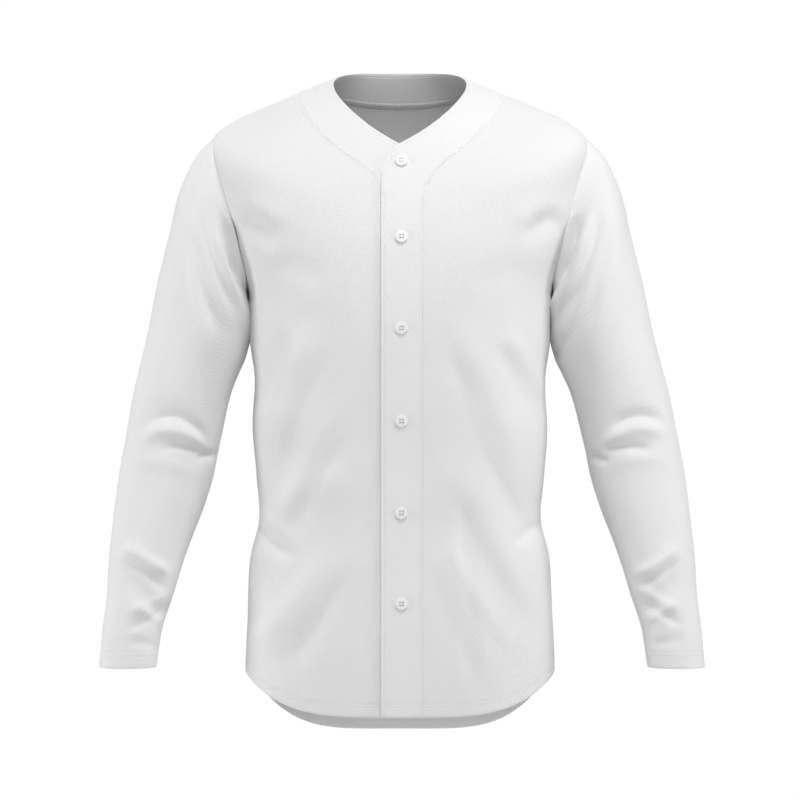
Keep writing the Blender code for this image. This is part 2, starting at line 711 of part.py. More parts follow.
def make_tape(collection):
    """Narrow tape inside the back of the neck, over the band seam."""
    level = BAND_PROUD - BAND_CLOTH - SEAM_GAP
    points, normals = [], []
    for distance, towards in ((TAPE_BELOW, "mid_shoulder"), (0.0, "collar"), (TAPE_ABOVE, "collar")):
        row, row_normals = [], []
        for angle in back_band_angles()[1:-1]:
            seam, normal = body_point(angle, UP["band"], level)
            end, _ = body_point(angle, UP[towards], level)
            row.append(seam + (end - seam).normalized() * distance)
            row_normals.append(normal)
        points.append(row)
        normals.append(row_normals)
    layers = wall_layers(points, normals, TAPE_CLOTH)
    bm = bmesh.new()
    add_wall(bm, layers, normals)
    return finish_piece(bm, "neck_tape", "tape", collection)


def make_sleeve(name, side, collection):
    """One sleeve, from the armhole to the turned cuff edge."""
    turns = armhole_turns(True) + armhole_turns(False)[-2:0:-1]
    points, normals = [], []
    for t in even(SLEEVE_ROWS):
        down = SLEEVE_DOWN[-1] * t
        point_row, normal_row = [], []
        for turn in turns:
            base = sleeve_base(turn, down)
            normal = armhole_normal(turn) if t == 0.0 else sleeve_normal(turn, down)
            fade = ease(down, 0.0, JOIN_LENGTH / 2)
            height = fold_height(SLEEVE_FOLD_ROWS, side * base.x, base.z, math.cos(turn)) * fade
            point_row.append(swung(base + normal * height, side, down))
            normal_row.append(mirrored(normal, side))
        points.append(point_row)
        normals.append(normal_row)
    layers = wall_layers(points, normals, CLOTH)
    pull_row(layers, 0, 1)
    bm = bmesh.new()
    add_wall(bm, layers, normals, closed=True)
    return finish_piece(bm, name, "cloth", collection)


# Buttons

def turned_button(cutters):
    """Four-hole button turned about its axis, its back at the origin and its face along +Z."""
    half_rim = BUTTON_RIM / 2
    dish_z = BUTTON_HEIGHT - BUTTON_DISH
    profile = (
        (0.0, dish_z),
        (BUTTON_DISH_RADIUS, dish_z),
        (BUTTON_RADIUS - BUTTON_RIM, BUTTON_HEIGHT - BUTTON_RIM_DROP),
        (BUTTON_RADIUS - half_rim, BUTTON_HEIGHT),
        (BUTTON_RADIUS - BUTTON_RIM_SIDE, BUTTON_HEIGHT - half_rim),
        (BUTTON_RADIUS, BUTTON_HEIGHT / 2),
        (BUTTON_RADIUS - half_rim, 0.0),
        (0.0, 0.0),
    )
    mesh = bpy.data.meshes.new("button_profile")
    edges = [(k, k + 1) for k in range(len(profile) - 1)]
    mesh.from_pydata([(r, 0.0, z) for r, z in profile], edges, [])
    blank = bpy.data.objects.new("button_blank", mesh)
    cutters.objects.link(blank)
    screw = blank.modifiers.new("turn", "SCREW")
    screw.steps = BUTTON_STEPS
    screw.render_steps = BUTTON_STEPS
    screw.use_merge_vertices = True
    screw.merge_threshold = MERGE_DISTANCE
    cut = blank.modifiers.new("holes", "BOOLEAN")
    cut.operation = "DIFFERENCE"
    cut.solver = "EXACT"
    cut.object = hole_cutter(cutters)
    return blank


def hole_cutter(cutters):
    """Four round pins that cut a button's holes."""
    bm = bmesh.new()
    for k in range(BUTTON_HOLES):
        turn = (k + 0.5) * 2 * math.pi / BUTTON_HOLES
        made = bmesh.ops.create_cone(
            bm, cap_ends=True, segments=HOLE_SIDES, radius1=BUTTON_HOLE_RADIUS,
            radius2=BUTTON_HOLE_RADIUS, depth=HOLE_DEPTH)
        shift = Vector((math.cos(turn), math.sin(turn), 0.0)) * BUTTON_HOLE_CIRCLE
        bmesh.ops.translate(bm, verts=made["verts"], vec=shift)
    mesh = bpy.data.meshes.new("hole_cutter")
    bm.to_mesh(mesh)
    bm.free()
    cutter = bpy.data.objects.new("hole_cutter", mesh)
    cutter.hide_render = True
    cutter.display_type = "WIRE"
    cutters.objects.link(cutter)
    return cutter


def make_buttons(collection, cutters):
    """Six buttons down the top placket, each square to the cloth."""
    blank = turned_button(cutters)
    bpy.context.view_layer.update()
    evaluated = blank.evaluated_get(bpy.context.evaluated_depsgraph_get())
    mesh = bpy.data.meshes.new_from_object(evaluated)
    mesh.name = "button"
    mesh.shade_smooth()
    mesh.set_sharp_from_angle(angle=SHARP_ANGLE)
    mesh.materials.append(material("button"))
    bpy.data.objects.remove(blank)
    for number, z in enumerate(BUTTON_Z, start=1):
        up = up_on_front(BUTTON_X, z)
        angle = angle_at_x(BUTTON_X, up)
        seat, normal = body_point(angle, up, top_level(BUTTON_X) + BUTTON_GAP)
        button = bpy.data.objects.new(f"button_{number}", mesh)
        button.location = seat
        button.rotation_mode = "QUATERNION"
        button.rotation_quaternion = Vector((0, 0, 1)).rotation_difference(normal)
        collection.objects.link(button)


def build():
    """Model the whole jersey."""
    for old in list(bpy.data.objects):
        bpy.data.objects.remove(old)
    jersey = fresh_collection("baseball_jersey")
    cutters = fresh_collection("cutters")
    make_front("front_left", 1, TOP_SEAM_X, lambda x: 0.0, jersey)
    make_front("front_right", -1, UNDER_SEAM_X, lambda x: under_level(x, 0.0), jersey)
    make_back(jersey)
    make_sleeve("sleeve_left", 1, jersey)
    make_sleeve("sleeve_right", -1, jersey)
    make_band("band_left", TOP_EDGE_X, TOP_SEAM_X, top_level, jersey)
    make_band("band_right", UNDER_EDGE_X, UNDER_SEAM_X, lambda x: under_level(x, BAND_PROUD), jersey)
    make_back_band(jersey)
    make_tape(jersey)
    make_buttons(jersey, cutters)


build()
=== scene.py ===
"""Long-sleeved baseball jersey with a full button front, dressed in knitted cloth.

Every cut piece is a thin shell of cloth on the form of its solid: two fronts, a back, two
sleeves, the button bands, the back band and the neck tape. Creases are listed in
metres, the weave follows each piece's own cut, and the sewing is real thread.

Axes: the chest faces -Y, +X is the wearer's left, +Z is up.
"""

import logging
import math
from collections.abc import Callable
from dataclasses import dataclass, field, fields, replace
from enum import Enum

import bmesh
import bpy
import numpy as np
from mathutils import Matrix, Vector


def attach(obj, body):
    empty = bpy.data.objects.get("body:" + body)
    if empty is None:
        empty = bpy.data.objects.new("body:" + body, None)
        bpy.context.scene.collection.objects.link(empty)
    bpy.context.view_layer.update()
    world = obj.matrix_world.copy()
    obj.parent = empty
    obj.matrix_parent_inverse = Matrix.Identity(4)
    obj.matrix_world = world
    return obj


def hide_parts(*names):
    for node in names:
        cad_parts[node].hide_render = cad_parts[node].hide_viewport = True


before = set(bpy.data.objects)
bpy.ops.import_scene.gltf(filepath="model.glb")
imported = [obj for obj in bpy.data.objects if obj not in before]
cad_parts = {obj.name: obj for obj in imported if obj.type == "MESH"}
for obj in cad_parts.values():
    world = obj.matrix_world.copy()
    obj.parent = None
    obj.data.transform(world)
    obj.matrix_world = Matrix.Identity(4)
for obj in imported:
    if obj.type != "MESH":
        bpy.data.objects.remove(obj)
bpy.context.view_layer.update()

LOG = logging.getLogger("jersey")
Array = np.ndarray

SIDE = math.pi / 2
BACK = math.pi
STEP = 1e-4

# Cloth and sewing, in metres
CLOTH = 0.0016
BAND_CLOTH = 0.0020
TAPE_CLOTH = 0.0010
HEM_LINES = (0.0110, 0.0150)
CUFF_LINES = (0.0140, 0.0190)
TAPE_LINES = (0.0012, 0.0066)
TOPSTITCH = 0.0027
EDGE_STITCH = 0.0042
SHARP_ANGLE = math.radians(60.0)
MERGE_DISTANCE = 1e-6


class Face(Enum):
    """Side of the garment that a fold lies on."""

    FRONT = 1.0
    BACK = -1.0


class Side(Enum):
    """Wearer's side, as the sign of its X."""

    LEFT = 1
    RIGHT = -1


@dataclass(frozen=True)
class Ring:
    """One ring of the body, in metres. Level keeps it level about its centre, pitch tips it."""

    name: str
    half_width: float
    front_y: float
    side_y: float
    back_y: float
    front_z: float
    side_z: float
    back_z: float
    pitch: float
    notch: float
    level: float
    roundness: float


@dataclass(frozen=True)
class Section:
    """One section of the left sleeve, by its outer and inner points, in metres."""

    name: str
    outer_x: float
    outer_z: float
    inner_x: float
    inner_z: float
    front_y: float
    back_y: float
    roundness: float


@dataclass(frozen=True)
class Fold:
    """Soft ridge or trough along a bowed line seen from the front, in metres."""

    name: str
    face: Face
    from_x: float
    from_z: float
    to_x: float
    to_z: float
    bow: float
    width: float
    height: float


RINGS = (
    Ring("hem", 0.1810, -0.128, 0.002, 0.122, -0.730, -0.686, -0.766, 0.000, 0.000, 3.8, 0.90),
    Ring("skirt", 0.1795, -0.127, 0.002, 0.120, -0.672, -0.644, -0.696, 0.000, 0.000, 3.4, 0.90),
    Ring("seat", 0.1773, -0.124, 0.002, 0.115, -0.606, -0.595, -0.617, 0.000, 0.000, 2.8, 0.89),
    Ring("hip", 0.1745, -0.121, 0.002, 0.108, -0.558, -0.552, -0.562, 0.000, 0.000, 2.2, 0.89),
    Ring("waist", 0.1648, -0.120, 0.002, 0.103, -0.506, -0.505, -0.507, 0.000, 0.000, 2.0, 0.88),
    Ring("high_waist", 0.1680, -0.121, 0.002, 0.103, -0.458, -0.458, -0.458, 0.000, 0.000, 2.0, 0.87),
    Ring("ribs", 0.1722, -0.124, 0.002, 0.108, -0.403, -0.403, -0.403, 0.000, 0.000, 2.0, 0.86),
    Ring("under_chest", 0.1695, -0.128, 0.002, 0.116, -0.350, -0.350, -0.348, 0.000, 0.000, 2.0, 0.86),
    Ring("chest", 0.1728, -0.131, 0.002, 0.121, -0.298, -0.298, -0.294, 0.000, 0.000, 2.0, 0.86),
    Ring("underarm", 0.1780, -0.132, 0.002, 0.123, -0.246, -0.242, -0.238, 0.000, 0.000, 2.0, 0.86),
    Ring("low_scye", 0.1965, -0.1285, 0.001, 0.121, -0.198, -0.190, -0.184, 0.000, 0.000, 2.0, 0.87),
    Ring("mid_scye", 0.2135, -0.1222, 0.000, 0.112, -0.166, -0.130, -0.130, 0.000, 0.000, 2.0, 0.89),
    Ring("tip", 0.2180, -0.1155, 0.000, 0.095, -0.143, -0.064, -0.076, 0.004, 0.000, 2.0, 0.92),
    Ring("shoulder", 0.1900, -0.113, 0.000, 0.089, -0.135, -0.0415, -0.061, 0.012, 0.000, 2.0, 0.94),
    Ring("mid_shoulder", 0.1580, -0.1095, 0.000, 0.081, -0.125, -0.0280, -0.043, 0.022, 0.000, 2.0, 0.96),
    Ring("band", 0.1205, -0.1045, 0.000, 0.070, -0.112, -0.0150, -0.019, 0.035, 0.004, 2.0, 0.98),
    Ring("collar", 0.0980, -0.0975, 0.000, 0.062, -0.094, -0.0065, 0.000, 0.034, 0.010, 2.0, 1.00),
    Ring("neck", 0.0780, -0.090, 0.000, 0.055, -0.076, 0.0000, 0.017, 0.033, 0.020, 2.0, 1.00),
)

SECTIONS = (
    Section("armhole", 0.2180, -0.064, 0.1780, -0.242, -0.055, 0.062, 0.92),
    Section("cap", 0.2385, -0.086, 0.1790, -0.259, -0.062, 0.066, 0.94),
    Section("deltoid", 0.2560, -0.123, 0.1795, -0.277, -0.066, 0.068, 0.96),
    Section("upper_arm", 0.2680, -0.169, 0.1790, -0.297, -0.067, 0.066, 0.97),
    Section("biceps", 0.2810, -0.222, 0.1795, -0.317, -0.067, 0.061, 0.98),
    Section("mid_arm", 0.2930, -0.280, 0.1875, -0.338, -0.066, 0.056, 0.98),
    Section("above_elbow", 0.3045, -0.333, 0.1965, -0.362, -0.065, 0.051, 0.98),
    Section("elbow_top", 0.3140, -0.377, 0.2040, -0.392, -0.064, 0.046, 0.98),
    Section("elbow", 0.3210, -0.421, 0.2115, -0.428, -0.065, 0.041, 0.98),
    Section("elbow_low", 0.3270, -0.459, 0.2180, -0.462, -0.067, 0.034, 0.98),
    Section("forearm_top", 0.3320, -0.493, 0.2285, -0.495, -0.070, 0.027, 0.98),
    Section("forearm", 0.3355, -0.528, 0.2415, -0.528, -0.073, 0.019, 0.98),
    Section("mid_forearm", 0.3385, -0.562, 0.2530, -0.562, -0.076, 0.010, 0.98),
    Section("low_forearm", 0.3400, -0.597, 0.2635, -0.597, -0.080, 0.000, 0.98),
    Section("wrist", 0.3440, -0.637, 0.2750, -0.637, -0.084, -0.010, 0.98),
    Section("cuff", 0.3475, -0.678, 0.2810, -0.678, -0.088, -0.020, 0.98),
)

BODY_FOLDS = (
    Fold("left_drape_high", Face.FRONT, 0.052, -0.270, 0.152, -0.515, 0.012, 0.022, 0.0045),
    Fold("left_drape_mid", Face.FRONT, 0.040, -0.425, 0.158, -0.640, 0.012, 0.022, 0.0040),
    Fold("left_drape_low", Face.FRONT, 0.030, -0.520, 0.098, -0.690, 0.008, 0.018, 0.0030),
    Fold("right_drape_high", Face.FRONT, -0.100, -0.275, -0.120, -0.430, -0.006, 0.024, 0.0035),
    Fold("right_drape_mid", Face.FRONT, -0.060, -0.450, -0.160, -0.530, -0.010, 0.022, 0.0040),
    Fold("right_drape_low", Face.FRONT, -0.040, -0.545, -0.150, -0.665, -0.010, 0.022, 0.0035),
    Fold("left_chest_crease", Face.FRONT, 0.150, -0.172, 0.184, -0.158, 0.002, 0.010, -0.0025),
    Fold("right_chest_crease", Face.FRONT, -0.150, -0.172, -0.184, -0.158, 0.002, 0.010, -0.0030),
    Fold("left_back_drape", Face.BACK, 0.060, -0.300, 0.150, -0.470, 0.010, 0.022, 0.0045),
    Fold("right_back_drape", Face.BACK, -0.055, -0.285, -0.150, -0.480, -0.010, 0.022, 0.0045),
    Fold("small_of_back", Face.BACK, -0.120, -0.495, 0.110, -0.505, -0.010, 0.020, 0.0040),
    Fold("left_tail_drape", Face.BACK, 0.050, -0.530, 0.130, -0.680, 0.010, 0.024, 0.0060),
    Fold("right_tail_drape", Face.BACK, -0.060, -0.540, -0.120, -0.690, -0.010, 0.024, 0.0060),
)

SLEEVE_FOLDS = (
    Fold("left_long_ridge", Face.FRONT, 0.222, -0.150, 0.184, -0.305, 0.004, 0.012, 0.0055),
    Fold("left_long_trough", Face.FRONT, 0.212, -0.140, 0.176, -0.250, 0.004, 0.009, -0.0045),
    Fold("left_outer_ridge", Face.FRONT, 0.250, -0.150, 0.215, -0.320, 0.004, 0.014, 0.0030),
    Fold("left_elbow_trough", Face.FRONT, 0.232, -0.402, 0.308, -0.392, 0.010, 0.010, -0.0022),
    Fold("left_elbow_ridge", Face.FRONT, 0.224, -0.428, 0.300, -0.410, 0.010, 0.012, 0.0022),
    Fold("left_wrist_ridge", Face.FRONT, 0.315, -0.535, 0.278, -0.578, 0.004, 0.011, 0.0045),
    Fold("left_wrist_trough", Face.FRONT, 0.318, -0.565, 0.272, -0.612, 0.004, 0.010, -0.0035),
    Fold("left_back_elbow", Face.BACK, 0.225, -0.420, 0.315, -0.395, 0.010, 0.013, -0.0045),
    Fold("left_back_long", Face.BACK, 0.225, -0.150, 0.190, -0.300, 0.004, 0.013, 0.0045),
    Fold("right_long_ridge", Face.FRONT, -0.222, -0.150, -0.184, -0.300, -0.004, 0.012, 0.0055),
    Fold("right_long_trough", Face.FRONT, -0.213, -0.135, -0.178, -0.245, -0.004, 0.009, -0.0050),
    Fold("right_outer_ridge", Face.FRONT, -0.252, -0.155, -0.218, -0.330, -0.004, 0.014, 0.0035),
    Fold("right_elbow_trough", Face.FRONT, -0.232, -0.395, -0.300, -0.392, -0.012, 0.010, -0.0025),
    Fold("right_elbow_ridge", Face.FRONT, -0.226, -0.425, -0.296, -0.408, -0.010, 0.012, 0.0022),
    Fold("right_wrist_ridge", Face.FRONT, -0.316, -0.532, -0.276, -0.572, -0.004, 0.011, 0.0050),
    Fold("right_wrist_trough", Face.FRONT, -0.312, -0.568, -0.270, -0.615, -0.004, 0.010, -0.0035),
    Fold("right_back_elbow", Face.BACK, -0.225, -0.425, -0.315, -0.390, -0.010, 0.013, -0.0045),
    Fold("right_back_long", Face.BACK, -0.225, -0.150, -0.190, -0.305, -0.004, 0.013, 0.0045),
)

# Finer creases of the body, over the large folds
FRONT_CREASES = (
    Fold("right_side_trough", Face.FRONT, -0.133, -0.284, -0.157, -0.387, 0.002, 0.0100, -0.0040),
    Fold("right_side_ridge", Face.FRONT, -0.100, -0.284, -0.150, -0.438, -0.004, 0.0110, 0.0034),
    Fold("right_rib_trough", Face.FRONT, -0.080, -0.307, -0.141, -0.484, -0.004, 0.0100, -0.0034),
    Fold("right_waist_ridge", Face.FRONT, -0.057, -0.353, -0.146, -0.530, -0.003, 0.0100, 0.0028),
    Fold("right_waist_trough", Face.FRONT, -0.055, -0.404, -0.125, -0.530, -0.003, 0.0100, -0.0030),
    Fold("right_hip_crease", Face.FRONT, -0.169, -0.515, -0.123, -0.555, 0.003, 0.0070, -0.0042),
    Fold("right_hip_ridge", Face.FRONT, -0.160, -0.500, -0.118, -0.540, 0.003, 0.0070, 0.0018),
    Fold("right_skirt_ridge", Face.FRONT, -0.080, -0.535, -0.163, -0.655, 0.003, 0.0120, 0.0034),
    Fold("right_skirt_trough", Face.FRONT, -0.055, -0.552, -0.131, -0.678, 0.003, 0.0120, -0.0042),
    Fold("right_skirt_side", Face.FRONT, -0.154, -0.552, -0.171, -0.644, 0.000, 0.0100, -0.0038),
    Fold("right_chest_ridge", Face.FRONT, -0.177, -0.146, -0.120, -0.164, -0.003, 0.0140, 0.0030),
    Fold("right_chest_trough", Face.FRONT, -0.192, -0.159, -0.138, -0.192, 0.003, 0.0140, -0.0050),
    Fold("right_breast_soft", Face.FRONT, -0.150, -0.215, -0.080, -0.235, 0.004, 0.0160, -0.0020),
    Fold("left_long_trough", Face.FRONT, 0.046, -0.283, 0.165, -0.545, -0.008, 0.0110, -0.0042),
    Fold("left_bright_ridge", Face.FRONT, 0.060, -0.330, 0.160, -0.530, -0.004, 0.0090, 0.0032),
    Fold("left_second_trough", Face.FRONT, 0.050, -0.450, 0.164, -0.650, -0.008, 0.0120, -0.0027),
    Fold("left_second_ridge", Face.FRONT, 0.046, -0.515, 0.136, -0.662, -0.006, 0.0100, 0.0028),
    Fold("left_third_trough", Face.FRONT, 0.036, -0.560, 0.100, -0.700, -0.005, 0.0110, -0.0016),
    Fold("left_drape_a", Face.FRONT, 0.054, -0.440, 0.062, -0.700, 0.004, 0.0100, 0.0013),
    Fold("left_drape_b", Face.FRONT, 0.070, -0.500, 0.080, -0.705, 0.003, 0.0100, -0.0013),
    Fold("left_drape_c", Face.FRONT, 0.088, -0.560, 0.096, -0.700, 0.002, 0.0100, 0.0010),
    Fold("left_side_pull", Face.FRONT, 0.118, -0.290, 0.166, -0.372, 0.004, 0.0110, 0.0028),
    Fold("left_side_trough", Face.FRONT, 0.104, -0.300, 0.160, -0.405, 0.004, 0.0120, -0.0020),
    Fold("left_hip_crease", Face.FRONT, 0.168, -0.512, 0.128, -0.538, -0.003, 0.0070, -0.0030),
    Fold("left_chest_ridge", Face.FRONT, 0.176, -0.146, 0.122, -0.162, 0.003, 0.0140, 0.0022),
    Fold("left_chest_trough", Face.FRONT, 0.190, -0.158, 0.140, -0.188, -0.003, 0.0130, -0.0036),
    Fold("left_breast_soft", Face.FRONT, 0.150, -0.220, 0.080, -0.240, -0.004, 0.0160, -0.0016),
)

BACK_CREASES = (
    Fold("left_back_trough", Face.BACK, 0.040, -0.330, 0.150, -0.520, 0.010, 0.010, -0.0028),
    Fold("right_back_trough", Face.BACK, -0.036, -0.322, -0.148, -0.530, -0.010, 0.010, -0.0028),
    Fold("waist_trough", Face.BACK, -0.110, -0.476, 0.124, -0.484, -0.008, 0.008, -0.0024),
    Fold("waist_fold", Face.BACK, -0.080, -0.530, 0.060, -0.528, -0.008, 0.009, 0.0020),
    Fold("left_tail_trough", Face.BACK, 0.030, -0.560, 0.100, -0.715, 0.008, 0.010, -0.0022),
    Fold("right_tail_trough", Face.BACK, -0.040, -0.575, -0.096, -0.722, -0.008, 0.010, -0.0022),
    Fold("left_shoulder_pull", Face.BACK, 0.185, -0.160, 0.120, -0.215, -0.006, 0.010, -0.0022),
    Fold("right_shoulder_pull", Face.BACK, -0.185, -0.158, -0.118, -0.222, 0.006, 0.010, -0.0024),
    Fold("left_shoulder_ridge", Face.BACK, 0.180, -0.178, 0.116, -0.236, -0.006, 0.009, 0.0018),
    Fold("right_shoulder_ridge", Face.BACK, -0.178, -0.176, -0.112, -0.242, 0.006, 0.009, 0.0018),
)

# Finer creases of the sleeves
SLEEVE_FRONT_CREASES = (
    Fold("left_seam_trough", Face.FRONT, 0.203, -0.150, 0.177, -0.240, 0.002, 0.0088, -0.0100),
    Fold("left_inner_ridge", Face.FRONT, 0.220, -0.150, 0.174, -0.282, 0.003, 0.0070, 0.0062),
    Fold("left_outer_trough", Face.FRONT, 0.231, -0.150, 0.188, -0.284, 0.004, 0.0070, -0.0065),
    Fold("left_parallel", Face.FRONT, 0.244, -0.165, 0.206, -0.300, 0.005, 0.0090, -0.0040),
    Fold("left_short_trough", Face.FRONT, 0.192, -0.290, 0.178, -0.325, 0.001, 0.0050, -0.0034),
    Fold("left_elbow_arc", Face.FRONT, 0.234, -0.407, 0.305, -0.397, 0.014, 0.0060, -0.0055),
    Fold("left_elbow_bulge", Face.FRONT, 0.234, -0.420, 0.303, -0.410, 0.013, 0.0080, 0.0050),
    Fold("left_elbow_low_arc", Face.FRONT, 0.226, -0.428, 0.288, -0.428, 0.004, 0.0050, -0.0045),
    Fold("left_elbow_soft", Face.FRONT, 0.232, -0.448, 0.308, -0.440, 0.006, 0.0090, 0.0022),
    Fold("left_wrist_a", Face.FRONT, 0.316, -0.538, 0.264, -0.572, 0.002, 0.0050, 0.0036),
    Fold("left_wrist_b", Face.FRONT, 0.318, -0.552, 0.268, -0.586, 0.002, 0.0050, -0.0036),
    Fold("left_wrist_c", Face.FRONT, 0.268, -0.584, 0.320, -0.612, -0.002, 0.0050, 0.0030),
    Fold("left_wrist_d", Face.FRONT, 0.272, -0.600, 0.322, -0.628, -0.002, 0.0050, -0.0034),
    Fold("left_wrist_e", Face.FRONT, 0.320, -0.596, 0.276, -0.624, 0.002, 0.0045, 0.0028),
    Fold("left_wrist_f", Face.FRONT, 0.322, -0.640, 0.284, -0.650, 0.002, 0.0050, -0.0022),
    Fold("left_inner_dent", Face.FRONT, 0.212, -0.432, 0.238, -0.442, 0.000, 0.0045, -0.0036),
    Fold("right_seam_trough", Face.FRONT, -0.202, -0.152, -0.176, -0.242, -0.002, 0.0090, -0.0120),
    Fold("right_inner_ridge", Face.FRONT, -0.218, -0.146, -0.170, -0.312, -0.003, 0.0070, 0.0066),
    Fold("right_outer_trough", Face.FRONT, -0.228, -0.146, -0.187, -0.282, -0.004, 0.0070, -0.0075),
    Fold("right_parallel", Face.FRONT, -0.242, -0.166, -0.204, -0.300, -0.005, 0.0105, -0.0064),
    Fold("right_elbow_arc", Face.FRONT, -0.299, -0.400, -0.219, -0.422, 0.021, 0.0060, -0.0060),
    Fold("right_elbow_bulge", Face.FRONT, -0.297, -0.414, -0.222, -0.434, 0.019, 0.0080, 0.0054),
    Fold("right_elbow_low_arc", Face.FRONT, -0.275, -0.424, -0.214, -0.440, 0.008, 0.0050, -0.0050),
    Fold("right_elbow_soft", Face.FRONT, -0.306, -0.440, -0.226, -0.462, 0.008, 0.0090, 0.0022),
    Fold("right_wrist_a", Face.FRONT, -0.318, -0.538, -0.262, -0.574, 0.003, 0.0050, 0.0038),
    Fold("right_wrist_b", Face.FRONT, -0.318, -0.554, -0.268, -0.590, 0.003, 0.0050, -0.0040),
    Fold("right_wrist_c", Face.FRONT, -0.266, -0.590, -0.318, -0.616, 0.003, 0.0050, 0.0034),
    Fold("right_wrist_d", Face.FRONT, -0.264, -0.606, -0.314, -0.632, 0.003, 0.0050, -0.0038),
    Fold("right_wrist_e", Face.FRONT, -0.316, -0.600, -0.272, -0.628, 0.002, 0.0045, 0.0030),
    Fold("right_wrist_f", Face.FRONT, -0.314, -0.646, -0.276, -0.656, 0.002, 0.0050, -0.0022),
    Fold("right_inner_dent", Face.FRONT, -0.212, -0.430, -0.236, -0.440, 0.000, 0.0045, -0.0036),
)

SLEEVE_BACK_CREASES = (
    Fold("left_back_arc", Face.BACK, 0.232, -0.398, 0.318, -0.378, 0.008, 0.007, -0.0026),
    Fold("left_back_arc_low", Face.BACK, 0.236, -0.440, 0.318, -0.420, 0.008, 0.008, 0.0022),
    Fold("left_back_trough", Face.BACK, 0.236, -0.170, 0.204, -0.310, 0.004, 0.008, -0.0039),
    Fold("left_back_wrist", Face.BACK, 0.325, -0.560, 0.272, -0.588, 0.003, 0.007, -0.0022),
    Fold("left_back_wrist_low", Face.BACK, 0.322, -0.590, 0.280, -0.622, 0.003, 0.008, 0.0020),
    Fold("right_back_arc", Face.BACK, -0.232, -0.402, -0.318, -0.372, -0.008, 0.007, -0.0026),
    Fold("right_back_arc_low", Face.BACK, -0.236, -0.444, -0.318, -0.416, -0.008, 0.008, 0.0022),
    Fold("right_back_trough", Face.BACK, -0.238, -0.170, -0.206, -0.305, -0.004, 0.008, -0.0039),
    Fold("right_back_wrist", Face.BACK, -0.322, -0.556, -0.270, -0.584, -0.003, 0.007, -0.0022),
    Fold("right_back_wrist_low", Face.BACK, -0.320, -0.588, -0.278, -0.626, -0.003, 0.008, 0.0020),
)


def scaled(folds: tuple[Fold, ...], wider: float, higher: float) -> tuple[Fold, ...]:
    """Folds with their widths and heights multiplied."""
    return tuple(replace(fold, width=fold.width * wider, height=fold.height * higher) for fold in folds)


# The creases behind are broader and deeper than they were drawn, so that they show in the softer light there
BODY_CREASES = FRONT_CREASES + scaled(BACK_CREASES, 1.3, 2.25)
SLEEVE_CREASES = SLEEVE_FRONT_CREASES + scaled(SLEEVE_BACK_CREASES, 1.1, 1.5)

# Direction, wavelength, phase and height of each wave of unevenness
RIPPLE_WAVES = (
    ((0.80, 0.30, 0.52), 0.118, 0.4, 0.00030),
    ((-0.55, 0.40, 0.73), 0.083, 2.1, 0.00022),
    ((0.20, -0.75, 0.63), 0.061, 4.4, 0.00016),
    ((0.92, -0.10, -0.38), 0.047, 1.2, 0.00011),
)

RIPPLE_FADE = 0.05

FOLD_TURN_START = -0.10
FOLD_TURN_FULL = 0.45
CREASE_TURN_FULL = 0.18
FOLD_END_OUT = 0.05
FOLD_END_IN = 0.30


def ease(value: Array, start: float, end: float) -> Array:
    """Smooth step from 0 at start to 1 at end."""
    t = np.clip((np.asarray(value, float) - start) / (end - start), 0.0, 1.0)
    return t * t * (3 - 2 * t)


def signed_power(value: Array, power: Array) -> Array:
    """Power that keeps the sign."""
    return np.sign(value) * np.abs(value) ** power


def unit(vectors: Array) -> Array:
    """Vectors at length 1."""
    return vectors / np.maximum(np.linalg.norm(vectors, axis=-1, keepdims=True), 1e-12)


def stacked(x: Array, y: Array, z: Array) -> Array:
    """Points from their coordinates."""
    return np.stack(np.broadcast_arrays(x, y, z), axis=-1)


def fold_height(
    folds: tuple[Fold, ...], x: Array, z: Array, facing: Array, full: float = FOLD_TURN_FULL
) -> Array:
    """Height of the folds at places seen from the front.

    Args:
        folds: The folds to add up.
        x: Places across, in metres.
        z: Places up, in metres.
        facing: 1 in front, -1 behind.
        full: How far a place has to face a fold's side to have its whole height.

    Returns:
        Heights out of the cloth, in metres.
    """
    total = np.zeros(np.broadcast(x, z).shape)
    for fold in folds:
        length = math.hypot(fold.to_x - fold.from_x, fold.to_z - fold.from_z)
        along = ((fold.to_x - fold.from_x) / length, (fold.to_z - fold.from_z) / length)
        right, above = x - fold.from_x, z - fold.from_z
        t = (right * along[0] + above * along[1]) / length
        middle = fold.bow * 4 * t * (1 - t)
        off = (above * along[0] - right * along[1] - middle) / fold.width
        ends = ease(t, -FOLD_END_OUT, FOLD_END_IN) * ease(1 - t, -FOLD_END_OUT, FOLD_END_IN)
        weight = ease(facing * fold.face.value, FOLD_TURN_START, full)
        total += weight * ends * fold.height * np.exp(-off * off)
    return total


def ripple(points: Array) -> Array:
    """Faint unevenness of the cloth at points, in metres."""
    total = np.zeros(points.shape[:-1])
    for direction, wavelength, phase, height in RIPPLE_WAVES:
        total += height * np.sin(points @ np.array(direction) * 2 * math.pi / wavelength + phase)
    return total


def running(points: Array, axis: int) -> Array:
    """Running distance along an axis of a grid of points."""
    steps = np.linalg.norm(np.diff(points, axis=axis), axis=-1)
    pad = [(0, 0)] * steps.ndim
    pad[axis] = (1, 0)
    return np.pad(np.cumsum(steps, axis=axis), pad)


